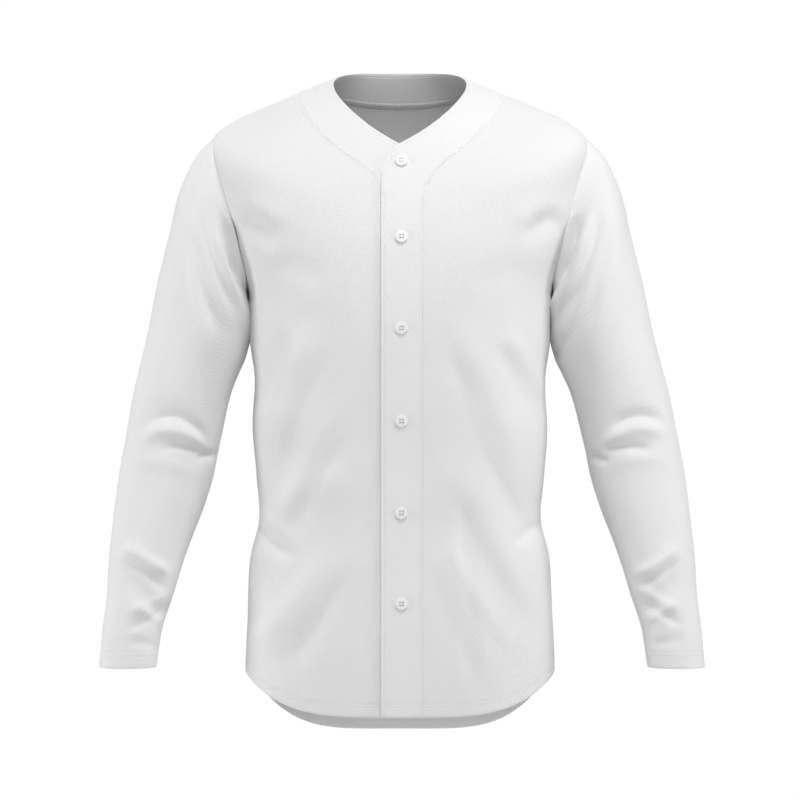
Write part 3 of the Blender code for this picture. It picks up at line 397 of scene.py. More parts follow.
class Track:
    """Smooth curves through the columns of a table, at stations along it."""

    def __init__(self, rows: tuple, stations: Array) -> None:
        """Keep the rows and the slopes of every column.

        Args:
            rows: Rows of the table, all of one dataclass.
            stations: Place of each row along the table.
        """
        self.names = [f.name for f in fields(rows[0]) if f.name != "name"]
        self.stations = np.asarray(stations, float)
        self.values = np.array([[getattr(row, name) for name in self.names] for row in rows])
        gaps = np.diff(self.stations)[:, None]
        rises = np.diff(self.values, axis=0) / gaps
        inner = (rises[:-1] * gaps[1:] + rises[1:] * gaps[:-1]) / (gaps[:-1] + gaps[1:])
        self.slopes = np.concatenate([rises[:1], inner, rises[-1:]])

    def at(self, station: Array) -> dict[str, Array]:
        """Every column at stations along the table, by name."""
        station = np.clip(station, self.stations[0], self.stations[-1])
        last = len(self.stations) - 2
        i = np.clip(np.searchsorted(self.stations, station, side="right") - 1, 0, last)
        gap = (self.stations[i + 1] - self.stations[i])[..., None]
        t = (station - self.stations[i])[..., None] / gap
        mixed = (
            self.values[i] * (2 * t**3 - 3 * t**2 + 1) + self.slopes[i] * gap * (t**3 - 2 * t**2 + t)
            + self.values[i + 1] * (3 * t**2 - 2 * t**3) + self.slopes[i + 1] * gap * (t**3 - t**2)
        )
        return {name: mixed[..., k] for k, name in enumerate(self.names)}


@dataclass
class Body:
    """Surface of the worn body, by angle from the front and distance up from the hem."""

    notch_slope: float = 0.40
    armhole_front: float = math.radians(21.0)
    armhole_back: float = math.radians(23.0)
    armhole_fullness: float = 0.80
    search_steps: int = 34
    map_angles: int = 241
    map_ups: int = 241
    level_ring: str = "chest"
    side_swell: float = 0.0030
    swell_z: tuple[float, float] = (-0.285, 0.045)
    swell_turn: tuple[float, float] = (0.90, 0.99)
    swell_fade: float = 0.02
    track: Track = field(init=False)
    up: dict[str, float] = field(init=False)
    top: float = field(init=False)
    angles: Array = field(init=False)
    ups: Array = field(init=False)
    around: Array = field(init=False)
    above_hem: Array = field(init=False)
    level_row: int = field(init=False)

    def __post_init__(self) -> None:
        """Work out where each ring is, and the map of distances on the cloth."""
        sides = np.array([(ring.half_width, ring.side_z) for ring in RINGS])
        ups = running(sides, 0)
        self.track = Track(RINGS, ups)
        self.up = {ring.name: float(up) for ring, up in zip(RINGS, ups)}
        self.top = float(ups[-1])
        self.angles = np.linspace(0.0, math.pi, self.map_angles)
        self.ups = np.linspace(0.0, self.top, self.map_ups)
        grid = self.base(self.angles[None, :], self.ups[:, None])
        self.around = running(grid, 1)
        self.above_hem = running(grid, 0)
        self.level_row = int(np.searchsorted(self.ups, self.up[self.level_ring]))

    def base(self, angle: Array, up: Array) -> Array:
        """Points of the body before its folds.

        Args:
            angle: Angles from the front, positive to the wearer's left.
            up: Distances up from the hem along the side, in metres.

        Returns:
            Points, in metres.
        """
        angle, up = np.broadcast_arrays(angle, up)
        ring = self.track.at(up)
        s, c = np.sin(angle), np.cos(angle)
        front = c > 0
        end_y = np.where(front, ring["front_y"] + self.notch_slope * ring["notch"], ring["back_y"])
        end_z = np.where(front, ring["front_z"] + ring["notch"], ring["back_z"])
        tip = np.where(front, ring["pitch"], -ring["pitch"])
        x = ring["half_width"] * signed_power(s, ring["roundness"])
        y = ring["side_y"] + (end_y - ring["side_y"]) * np.abs(c) ** ring["roundness"]
        level = 1 - np.abs(s) ** ring["level"]
        cut = np.where(front, ring["notch"] * np.maximum(1 - np.abs(s), 0.0) ** 2, 0.0)
        z = ring["side_z"] + (end_z - ring["side_z"] + tip) * level - ring["pitch"] * c - cut
        return stacked(x, y - self.notch_slope * cut, z)

    def normal(self, angle: Array, up: Array) -> Array:
        """Outward directions of the body.

        Args:
            angle: Angles from the front, positive to the wearer's left.
            up: Distances up from the hem along the side, in metres.

        Returns:
            Directions of length 1.
        """
        angle, up = np.broadcast_arrays(angle, up)
        across = self.base(angle + STEP, up) - self.base(angle - STEP, up)
        high, low = np.minimum(up + STEP, self.top), np.maximum(up - STEP, 0.0)
        return unit(np.cross(across, self.base(angle, high) - self.base(angle, low)))

    def point(self, angle: Array, up: Array, level: Array | float = 0.0) -> Array:
        """Points of the folded and creased cloth.

        Args:
            angle: Angles from the front, positive to the wearer's left.
            up: Distances up from the hem along the side.
            level: Height above the body's surface, in metres.

        Returns:
            Points, in metres.
        """
        base = self.base(angle, up)
        facing = np.cos(angle) + 0.0 * up
        x, z = base[..., 0], base[..., 2]
        height = fold_height(BODY_FOLDS, x, z, facing) + ripple(base) * ease(up, 0.0, RIPPLE_FADE)
        creases = fold_height(BODY_CREASES, x, z, facing, CREASE_TURN_FULL)
        middle, reach = self.swell_z
        swell = np.exp(-(((z - middle) / reach) ** 4)) * ease(np.abs(np.sin(angle)), *self.swell_turn)
        creases = creases + self.side_swell * swell * ease(self.up["underarm"] - up, 0.0, self.swell_fade)
        return base + self.normal(angle, up) * (height + creases + level)[..., None]

    def angle_at_x(self, x: Array, up: Array) -> Array:
        """Angles at which the rings of the front pass distances from the centre."""
        ring = self.track.at(np.asarray(up, float))
        return np.arcsin(np.clip(signed_power(x / ring["half_width"], 1 / ring["roundness"]), -1, 1))

    def up_on_front(self, x: Array, z: Array) -> Array:
        """Rings that pass places of the front near the placket.

        Args:
            x: Places across, in metres.
            z: Places up, in metres.

        Returns:
            Distances up from the hem.
        """
        x, z = np.broadcast_arrays(np.asarray(x, float), np.asarray(z, float))
        low, high = np.zeros(x.shape), np.full(x.shape, self.top)
        for _ in range(self.search_steps):
            middle = (low + high) / 2
            under = self.base(self.angle_at_x(x, middle), middle)[..., 2] < z
            low, high = np.where(under, middle, low), np.where(under, high, middle)
        return (low + high) / 2

    def armhole_place(self, turn: Array) -> tuple[Array, Array]:
        """Places (angle, up) on the left armhole. Turn is 0 in front, a quarter circle at the tip.

        Args:
            turn: Turns round the armhole.

        Returns:
            Angles and distances up from the hem.
        """
        middle = (self.up["underarm"] + self.up["tip"]) / 2
        half = (self.up["tip"] - self.up["underarm"]) / 2
        c = np.cos(turn)
        bulge = np.where(c > 0, -self.armhole_front, self.armhole_back)
        return SIDE + bulge * np.abs(c) ** self.armhole_fullness, middle + half * np.sin(turn)

    def on_map(self, table: Array, angle: Array, up: Array) -> Array:
        """Read a map of distances at places, between its own points.

        Args:
            table: The map, a row for each distance up.
            angle: Angles from the front, positive to the wearer's left.
            up: Distances up from the hem along the side, in metres.

        Returns:
            Distances, in metres.
        """
        a = np.clip(np.abs(angle) / math.pi * (self.map_angles - 1), 0, self.map_angles - 1.001)
        u = np.clip(up / self.top * (self.map_ups - 1), 0, self.map_ups - 1.001)
        i, j = a.astype(int), u.astype(int)
        p, q = a - i, u - j
        low = table[j, i] * (1 - p) + table[j, i + 1] * p
        high = table[j + 1, i] * (1 - p) + table[j + 1, i + 1] * p
        return low * (1 - q) + high * q

    def grain(self, angle: Array, up: Array, behind: bool = False) -> Array:
        """Place on the flat cloth, in metres.

        Args:
            angle: Angles from the front, past the centre back too.
            up: Distances up from the hem along the side.
            behind: Whether the place is counted from the centre back, not the centre front.

        Returns:
            Distances across from the centre, and up from the level of the chest.
        """
        sign = np.where((angle > math.pi) | (angle < 0), -1.0, 1.0)
        angle = np.where(angle > math.pi, 2 * math.pi - angle, np.abs(angle))
        across = self.on_map(self.around, angle, up)
        if behind:
            across = across - self.on_map(self.around, np.full(np.shape(across), math.pi), up)
        column = angle / math.pi * (self.map_angles - 1)
        start = np.interp(column, np.arange(self.map_angles), self.above_hem[self.level_row])
        return np.stack([sign * across, self.on_map(self.above_hem, angle, up) - start], axis=-1)

    def from_hem(self, angle: Array, up: Array) -> Array:
        """Distance up the cloth from the hem edge."""
        angle = np.where(angle > math.pi, 2 * math.pi - angle, angle)
        return self.on_map(self.above_hem, angle, up)


@dataclass
class Arm:
    """Surface of one sleeve, by turn round it and distance down it, joined to the armhole."""

    body: Body
    side: Side
    swing: float = 0.0
    swing_start: float = 0.12
    swing_end: float = 0.30
    join_section: str = "upper_arm"
    fade_share: float = 0.25
    mitre_limit: float = 1.6
    inner_swell: float = 0.0040
    swell_down: tuple[float, float, float, float] = (0.010, 0.035, 0.080, 0.125)
    swell_turn: tuple[float, float] = (0.72, 0.98)
    downs: Array = field(init=False)
    track: Track = field(init=False)
    length: float = field(init=False)
    join_length: float = field(init=False)

    def __post_init__(self) -> None:
        """Work out how far down each section is."""
        middles = np.array([(s.outer_x + s.inner_x, s.outer_z + s.inner_z) for s in SECTIONS]) / 2
        self.downs = running(middles, 0)
        self.track = Track(SECTIONS, self.downs)
        self.length = float(self.downs[-1])
        names = [section.name for section in SECTIONS]
        self.join_length = float(self.downs[names.index(self.join_section)])

    def section(self, turn: Array, down: Array) -> Array:
        """Points of the plain sections of the left sleeve.

        Args:
            turn: Turns round the sleeve, a quarter circle at its outer side.
            down: Distances down the sleeve, in metres.

        Returns:
            Points, in metres.
        """
        row = self.track.at(np.asarray(down, float))
        s = (1 + signed_power(np.sin(turn), row["roundness"])) / 2
        c = signed_power(np.cos(turn), row["roundness"])
        y = (row["front_y"] + row["back_y"]) / 2 - (row["back_y"] - row["front_y"]) / 2 * c
        x = row["inner_x"] + (row["outer_x"] - row["inner_x"]) * s
        return stacked(x, y, row["inner_z"] + (row["outer_z"] - row["inner_z"]) * s)

    def base(self, turn: Array, down: Array) -> Array:
        """Points of the left sleeve before its folds.

        Args:
            turn: Turns round the sleeve, a quarter circle at its outer side.
            down: Distances down the sleeve, in metres.

        Returns:
            Points, in metres.
        """
        turn, down = np.broadcast_arrays(turn, down)
        join = 1 - ease(down, 0.0, self.join_length)
        seam = self.body.point(*self.body.armhole_place(turn))
        return self.section(turn, down) + (seam - self.section(turn, np.zeros(down.shape))) * join[..., None]

    def normal(self, turn: Array, down: Array) -> Array:
        """Outward directions of the left sleeve.

        Args:
            turn: Turns round the sleeve, a quarter circle at its outer side.
            down: Distances down the sleeve, in metres.

        Returns:
            Directions of length 1.
        """
        around = self.base(turn + STEP, down) - self.base(turn - STEP, down)
        low, high = np.maximum(down - STEP, 0.0), np.minimum(down + STEP, self.length)
        return unit(np.cross(self.base(turn, high) - self.base(turn, low), around))

    def seam_normal(self, turn: Array) -> Array:
        """Directions shared by body and sleeve at the armhole, lengthened for the mitre.

        Args:
            turn: Turns round the sleeve, a quarter circle at its outer side.

        Returns:
            Directions, longer where the two faces turn more.
        """
        body = self.body.normal(*self.body.armhole_place(turn))
        shared = unit(body + self.normal(turn, np.zeros(np.shape(turn))))
        dot = np.maximum((shared * body).sum(-1), 1 / self.mitre_limit)
        return shared / dot[..., None]

    def placed(self, points: Array, down: Array | float = 0.0, move: bool = True) -> Array:
        """Points or directions on this side, and with the arm's own swing where they move.

        Args:
            points: Points or directions of the left sleeve.
            down: Distances down the sleeve, in metres.
            move: Whether the swing is added, as for points.

        Returns:
            The same on this arm's side.
        """
        out = points.copy()
        out[..., 0] *= self.side.value
        if move:
            out[..., 0] += self.swing * ease(down, self.swing_start, self.swing_end)
        return out

    def cloth(self, turn: Array, down: Array) -> tuple[Array, Array]:
        """Folded cloth of the sleeve and its directions, on its own side.

        Args:
            turn: Turns round the sleeve, a quarter circle at its outer side.
            down: Distances down the sleeve, in metres.

        Returns:
            Points and outward directions.
        """
        turn, down = np.broadcast_arrays(turn, down)
        base, normal = self.base(turn, down), self.normal(turn, down)
        normal[0] = self.seam_normal(turn[0])
        x, z = base[..., 0] * self.side.value, base[..., 2]
        facing = np.cos(turn)
        fade = ease(down, 0.0, self.join_length * self.fade_share)
        height = fold_height(SLEEVE_FOLDS, x, z, facing)
        height = height + fold_height(SLEEVE_CREASES, x, z, facing, CREASE_TURN_FULL)
        height = height + ripple(base) * ease(self.length - down, 0.0, RIPPLE_FADE)
        first, full, fading, last = self.swell_down
        swell = ease(down, first, full) * (1 - ease(down, fading, last))
        height = height + self.inner_swell * swell * ease(-np.sin(turn), *self.swell_turn)
        points = self.placed(base + normal * (height * fade)[..., None], down)
        return points, self.placed(normal, move=False)


class Edge(Enum):
    """How a border of a cut piece is finished: how far its face sinks there, in cloth thicknesses."""

    SEWN = 0.17
    FREE = 0.38


@dataclass
class Shell:
    """Wall of cloth over a grid of points, with its grain and its distances from stitched lines."""

    name: str
    points: Array
    normals: Array
    thickness: float
    grain: Array
    marks: dict[str, Array]
    closed: bool = False
    joined_rows: int = 0
    edges: tuple[Edge | None, ...] = (Edge.FREE, Edge.SEWN, Edge.SEWN, Edge.SEWN)
    roll: float = 0.0012
    seam_gap: float = 0.00012

    def borders(self) -> list[tuple[Edge | None, Array, tuple, tuple]]:
        """Each border with the distances from it, its own points and the points beside it."""
        up, across = running(self.points, 0), running(self.points, 1)
        every = slice(None)
        start = slice(self.joined_rows, None)
        return [
            (self.edges[0], up, (0, every), (1, every)),
            (self.edges[1], up[-1:] - up, (-1, every), (-2, every)),
            (self.edges[2], across, (start, 0), (start, 1)),
            (self.edges[3], across[:, -1:] - across, (start if self.closed else every, -1), (every, -2)),
        ]

    def faces(self) -> tuple[Array, Array]:
        """Outer and inner face, drawn back from seams and rolled over at every border."""
        sink = np.zeros(self.points.shape[:-1])
        shift = np.zeros(self.points.shape)
        for k, (edge, away, line, beside) in enumerate(self.borders()):
            if edge is None:
                continue
            near = edge.value * np.exp(-((away / self.roll) ** 2))
            if k == 2 and self.joined_rows:
                near[: self.joined_rows] = 0.0
            sink = np.maximum(sink, near)
            if edge is Edge.SEWN:
                shift[line] += unit(self.points[beside] - self.points[line]) * self.seam_gap / 2
        if self.joined_rows:
            shift[: self.joined_rows + 1, 0, 0] = 0.0
        depth = (sink * self.thickness)[..., None]
        outer = self.points + shift - self.normals * depth
        inner = self.points + shift - self.normals * (self.thickness - depth)
        return outer, inner

    def quads(self) -> tuple[Array, Array]:
        """Corners of every face, as vertices and as places on the grain."""
        rows, columns = self.points.shape[:2]
        span = columns if self.closed else columns - 1
        wide = self.grain.shape[1]
        j, i = np.meshgrid(np.arange(rows - 1), np.arange(span), indexing="ij")
        j, i = j.ravel(), i.ravel()
        inner = rows * columns

        def corner(row: Array, column: Array) -> tuple[Array, Array]:
            """Vertex and grain place of a corner of the grid."""
            return row * columns + column % columns, row * wide + column

        square = [corner(j, i), corner(j, i + 1), corner(j + 1, i + 1), corner(j + 1, i)]
        verts = [np.stack([v for v, _ in square], 1), np.stack([v for v, _ in square[::-1]], 1) + inner]
        grains = [np.stack([g for _, g in square], 1), np.stack([g for _, g in square[::-1]], 1)]
        rims = []
        ends = np.arange(span)
        rims.append([corner(0 * ends, ends), corner(0 * ends, ends + 1), False])
        rims.append([corner(0 * ends + rows - 1, ends), corner(0 * ends + rows - 1, ends + 1), True])
        if not self.closed:
            steps = np.arange(rows - 1)
            first = steps[self.joined_rows:]
            rims.append([corner(first, 0 * first), corner(first + 1, 0 * first), True])
            last = 0 * steps + columns - 1
            rims.append([corner(steps, last), corner(steps + 1, last), False])
        for (va, ga), (vb, gb), flip in rims:
            quad = np.stack([va + inner, vb + inner, vb, va], 1)
            place = np.stack([ga, gb, gb, ga], 1)
            verts.append(quad[:, ::-1] if flip else quad)
            grains.append(place[:, ::-1] if flip else place)
        return np.concatenate(verts), np.concatenate(grains)

    def mesh_parts(self) -> tuple[Array, Array, Array]:
        """Vertices, faces and grain places of every face, facing outwards."""
        outer, inner = self.faces()
        verts, grains = self.quads()
        across = self.points[1, 2] - self.points[1, 1]
        upward = self.points[2, 1] - self.points[1, 1]
        if np.dot(np.cross(across, upward), self.normals[1, 1]) < 0:
            verts, grains = verts[:, ::-1], grains[:, ::-1]
        return np.concatenate([outer.reshape(-1, 3), inner.reshape(-1, 3)]), verts, grains

    def build(self, finish: bpy.types.Material, *halves: "Shell") -> bpy.types.Object:
        """Make the object of the wall, together with the other halves of the same cut piece.

        Args:
            finish: Material of the cloth.
            *halves: Other walls of the same piece that meet this one at its first column.

        Returns:
            The finished object.
        """
        points, faces, grains, marks = [], [], [], {key: [] for key in self.marks}
        count = 0
        for shell in (self, *halves):
            verts, quads, places = shell.mesh_parts()
            points.append(verts)
            faces.append(quads + count)
            grains.append(shell.grain.reshape(-1, 2)[places])
            for key, table in shell.marks.items():
                marks[key].append(np.tile(table.ravel(), 2))
            count += len(verts)
        mesh = bpy.data.meshes.new(self.name)
        mesh.from_pydata(np.concatenate(points).tolist(), [], np.concatenate(faces).tolist())
        layer = mesh.uv_layers.new(name="grain")
        layer.data.foreach_set("uv", np.concatenate(grains).reshape(-1).astype(np.float32))
        for key, tables in marks.items():
            mark = mesh.attributes.new(key, "FLOAT", "POINT")
            mark.data.foreach_set("value", np.concatenate(tables).astype(np.float32))
        if halves:
            bm = bmesh.new()
            bm.from_mesh(mesh)
            bmesh.ops.remove_doubles(bm, verts=bm.verts, dist=MERGE_DISTANCE)
            bm.to_mesh(mesh)
            bm.free()
        mesh.shade_smooth()
        mesh.set_sharp_from_angle(angle=SHARP_ANGLE)
        mesh.materials.append(finish)
        piece = bpy.data.objects.new(self.name, mesh)
        bpy.context.scene.collection.objects.link(piece)
        return piece


def graded(
    count: int, start: tuple[float, ...] = (), end: tuple[float, ...] = (), clear: float = 1.4
) -> Array:
    """Shares from 0 to 1 in even steps, with closer ones beside either end.

    Args:
        count: Number of even steps.
        start: Extra shares near 0.
        end: Extra distances from 1.
        clear: Room that the even steps leave past the extra ones, as a multiple of the last of them.

    Returns:
        The shares, in order.
    """
    even = np.linspace(0.0, 1.0, count + 1)
    low, high = max(start, default=0.0) * clear, 1 - max(end, default=0.0) * clear
    inner = even[(even > low) & (even < high)]
    return np.concatenate([[0.0], np.asarray(start, float), inner, 1 - np.asarray(end, float)[::-1], [1.0]])


@dataclass
class Pattern:
    """Cut lines of the pieces, as places (angle, up) on the body."""

    body: Body
    top_edge_x: float = -0.0215
    top_seam_x: float = 0.0250
    under_seam_x: float = -0.0185
    under_edge_x: float = 0.0235
    turn_x: float = 0.058
    turn_low_z: float = -0.150
    turn_sweep: float = math.radians(56.0)
    corner_low_z: float = -0.131
    corner_power: float = 3.4
    placket_share: float = 5 / 14
    turn_share: float = 9 / 14
    centre_share: float = 8 / 14
    band_proud: float = 0.0004
    layer_gap: float = 0.0006
    placket_lift: float = 0.0012
    edge_lift: float = 0.0009
    edge_reach: float = 0.010
    dip_start_x: float = -0.052
    dip_end_x: float = -0.026
    side_rows: int = 112
    armhole_rows: int = 58
    hem_steps: tuple[float, ...] = (0.0016, 0.0040, 0.0075)
    shoulder_steps: tuple[float, ...] = (0.0035, 0.0085)
    lower: Array = field(init=False)
    upper: Array = field(init=False)

    def __post_init__(self) -> None:
        """Divide the rows, closer beside the hem and the shoulder."""
        self.lower = graded(self.side_rows, self.hem_steps)
        self.upper = graded(self.armhole_rows, (), self.shoulder_steps)[1:]

    def shares(self) -> tuple[Array, Array, Array]:
        """Shares of the straight part, the turn and the part round the neck, above the underarm."""
        p = np.clip(self.upper / self.placket_share, 0, 1)
        q = np.clip((self.upper - self.placket_share) / (self.turn_share - self.placket_share), 0, 1)
        r = np.clip((self.upper - self.turn_share) / (1 - self.turn_share), 0, 1)
        return p, q, r

    def straight(self, x: float) -> tuple[Array, Array]:
        """Line up the front from the hem to the underarm, at a distance from the centre."""
        up = self.body.up["underarm"] * self.lower
        return self.body.angle_at_x(np.full(up.shape, x), up), up

    def front_seam(self, x: float) -> Array:
        """Seam between a front and its band, up the placket and round to the shoulder.

        Args:
            x: The seam's distance from the centre front, in metres.

        Returns:
            Places (angle, up), a row for each.
        """
        p, q, r = self.shares()
        angle, up = self.straight(x)
        sign, band = math.copysign(1.0, x), self.body.up["band"]
        turn_angle = self.body.angle_at_x(sign * self.turn_x, band)
        start_z = self.body.base(angle[-1], up[-1])[2]
        top_z = self.body.base(turn_angle, band)[2]
        places_x = x + (sign * self.turn_x - x) * (1 - np.cos(q * SIDE))
        climb = np.sin(q * self.turn_sweep) / math.sin(self.turn_sweep)
        places_z = start_z + (self.turn_low_z - start_z) * p + (top_z - self.turn_low_z) * climb
        ups = np.where(r > 0, band, self.body.up_on_front(places_x, places_z))
        angles = self.body.angle_at_x(places_x, ups)
        angles = np.where(r > 0, turn_angle + (sign * SIDE - turn_angle) * r, angles)
        return np.stack([np.concatenate([angle, angles]), np.concatenate([up, ups])], -1)

    def front_edge(self, x: float) -> Array:
        """Free edge of a band, up the placket, round its corner and along the neck.

        Args:
            x: The edge's distance from the centre front, in metres.

        Returns:
            Places (angle, up), a row for each.
        """
        p, q, r = self.shares()
        angle, up = self.straight(x)
        sign, neck = math.copysign(1.0, x), self.body.up["neck"]
        start_z = self.body.base(angle[-1], up[-1])[2]
        point_z = self.body.base(0.0, neck)[2]
        rise = np.sin(q * SIDE)
        places_x = x * (1 - rise ** self.corner_power)
        places_z = start_z + (self.corner_low_z - start_z) * p + (point_z - self.corner_low_z) * rise
        ups = np.where(r > 0, neck, self.body.up_on_front(places_x, places_z))
        angles = np.where(r > 0, -sign * SIDE * r, self.body.angle_at_x(places_x, ups))
        return np.stack([np.concatenate([angle, angles]), np.concatenate([up, ups])], -1)

    def back_line(self) -> Array:
        """Centre back from the hem up, then along the band seam to the shoulder."""
        underarm, band = self.body.up["underarm"], self.body.up["band"]
        p = np.clip(self.upper / self.centre_share, 0, 1)
        r = np.clip((self.upper - self.centre_share) / (1 - self.centre_share), 0, 1)
        angles = np.concatenate([np.full(self.lower.shape, BACK), BACK + (SIDE - BACK) * r])
        ups = np.concatenate([underarm * self.lower, underarm + (band - underarm) * p])
        return np.stack([angles, ups], -1)

    def joined_rows(self) -> int:
        """Rows of the back that meet the other half at the centre."""
        return len(self.lower) + int((self.upper <= self.centre_share).sum()) - 1

    def side_line(self, front: bool) -> Array:
        """Side seam and armhole of the left side, from the hem to the shoulder tip.

        Args:
            front: Whether it bounds a front, not the back.

        Returns:
            Places (angle, up), a row for each.
        """
        turn = math.pi * (self.upper - 0.5)
        angles, ups = self.body.armhole_place(turn if front else math.pi - turn)
        low = self.body.up["underarm"] * self.lower
        return np.stack([np.concatenate([np.full(low.shape, SIDE), angles]), np.concatenate([low, ups])], -1)

    def top_level(self, x: Array) -> Array:
        """Height of the outer face of the top placket and the bands."""
        width = self.top_seam_x - self.top_edge_x
        return self.band_proud + self.placket_lift * np.clip((self.top_seam_x - x) / width, 0.0, 1.0)

    def lifted_level(self, x: Array) -> Array:
        """Outer face of the top placket, standing a little off the cloth at its free edge."""
        near = 1 - ease(x, self.top_edge_x, self.top_edge_x + self.edge_reach)
        return self.top_level(x) + self.edge_lift * near

    def under_level(self, x: Array, away: float) -> Array:
        """Height of the outer face of what passes under the top placket, and away from it."""
        beneath = self.top_level(np.maximum(x, self.top_edge_x)) - BAND_CLOTH - self.layer_gap
        return away + (beneath - away) * ease(x, self.dip_start_x, self.dip_end_x)


@dataclass
class BodyPiece:
    """A piece cut between two lines on the body, with its own cloth and its own levels."""

    name: str
    pattern: Pattern
    first: Array
    last: Array
    shares: Array
    thickness: float
    level: Callable[[Array], Array]
    armhole_front: bool = True
    joined_rows: int = 0
    edges: tuple[Edge | None, ...] = (Edge.FREE, Edge.SEWN, Edge.SEWN, Edge.SEWN)
    seam_column: int = 0
    edge_column: int | None = None
    behind: bool = False

    def places(self) -> tuple[Array, Array]:
        """Angles and distances up, over the whole piece."""
        t = self.shares[None, :]
        mixed = [self.first[:, None, k] * (1 - t) + self.last[:, None, k] * t for k in (0, 1)]
        return mixed[0], mixed[1]

    def shell(self, arm: Arm | None = None) -> Shell:
        """The wall of the piece.

        Args:
            arm: Sleeve surface that its armhole edge meets, if it has one.

        Returns:
            The wall, ready to be made.
        """
        body = self.pattern.body
        angle, up = self.places()
        level = self.level(body.base(angle, up)[..., 0])
        points, normals = body.point(angle, up, level), body.normal(angle, up)
        if arm is not None:
            start = len(self.pattern.lower) - 1
            turn = math.pi * (np.concatenate([[0.0], self.pattern.upper]) - 0.5)
            shared = arm.seam_normal(turn if self.armhole_front else math.pi - turn)
            normals[start:, -1] = arm.placed(shared, move=False)
        across = running(points, 1)
        to_seam = np.abs(across - across[:, self.seam_column][:, None])
        marks = {"hem": body.from_hem(angle, up), "seam": to_seam}
        if self.edge_column is None:
            marks["edge"] = np.full(to_seam.shape, 1.0)
        else:
            marks["edge"] = np.abs(across - across[:, self.edge_column][:, None])
        return Shell(self.name, points, normals, self.thickness, body.grain(angle, up, self.behind),
                     marks, joined_rows=self.joined_rows, edges=self.edges)


@dataclass(frozen=True)
class Cloth:
    """Finish of a knitted piece: its colour, weave and sewn lines, in metres, with painted shade in the
    hollows of the weave.
    """

    name: str
    colour: tuple[float, float, float] = (0.86, 0.86, 0.868)
    roughness: float = 0.86
    sheen: float = 0.22
    sheen_roughness: float = 0.45
    specular: float = 0.28
    pitch: float = 0.0039
    relief: float = 0.00016
    yarn: float = 0.00005
    # Share by which the colour is darkened in the hollows of the weave: painted shade
    dots: float = 0.10
    hem_lines: tuple[float, ...] = HEM_LINES
    seam_lines: tuple[float, ...] = ()
    edge_lines: tuple[float, ...] = ()
    groove: float = 0.00020
    groove_width: float = 0.0008


@dataclass(frozen=True)
class Plastic:
    """Finish of the buttons."""

    name: str = "button_plastic"
    colour: tuple[float, float, float] = (0.93, 0.93, 0.93)
    roughness: float = 0.38
    relief: float = 0.00002
    noise_scale: float = 900.0
    mottle: float = 0.04


@dataclass(frozen=True)
class Yarn:
    """Finish of the sewing thread."""

    name: str = "thread"
    colour: tuple[float, float, float] = (0.88, 0.88, 0.885)
    roughness: float = 0.62
    relief: float = 0.00003
    noise_scale: float = 2600.0
    mottle: float = 0.04


class Wiring:
    """Short ways to add and join nodes in one tree."""

    def __init__(self, tree: bpy.types.NodeTree) -> None:
        """Keep the tree."""
        self.tree = tree

    def add(self, kind: str, **settings: object) -> bpy.types.Node:
        """New node with its settings."""
        node = self.tree.nodes.new(kind)
        for key, value in settings.items():
            setattr(node, key, value)
        return node

    def join(self, source: object, target: object) -> None:
        """Link a socket to another."""
        self.tree.links.new(source, target)

    def sum(self, kind: str, a: object, b: object = 0.0) -> object:
        """Result of a Math node on two values or sockets.

        Args:
            kind: Operation of the node.
            a: First value or socket.
            b: Second value or socket.

        Returns:
            The node's output socket.
        """
        node = self.add("ShaderNodeMath", operation=kind)
        for socket, value in zip(node.inputs, (a, b)):
            if isinstance(value, (int, float)):
                socket.default_value = value
            else:
                self.join(value, socket)
        return node.outputs[0]


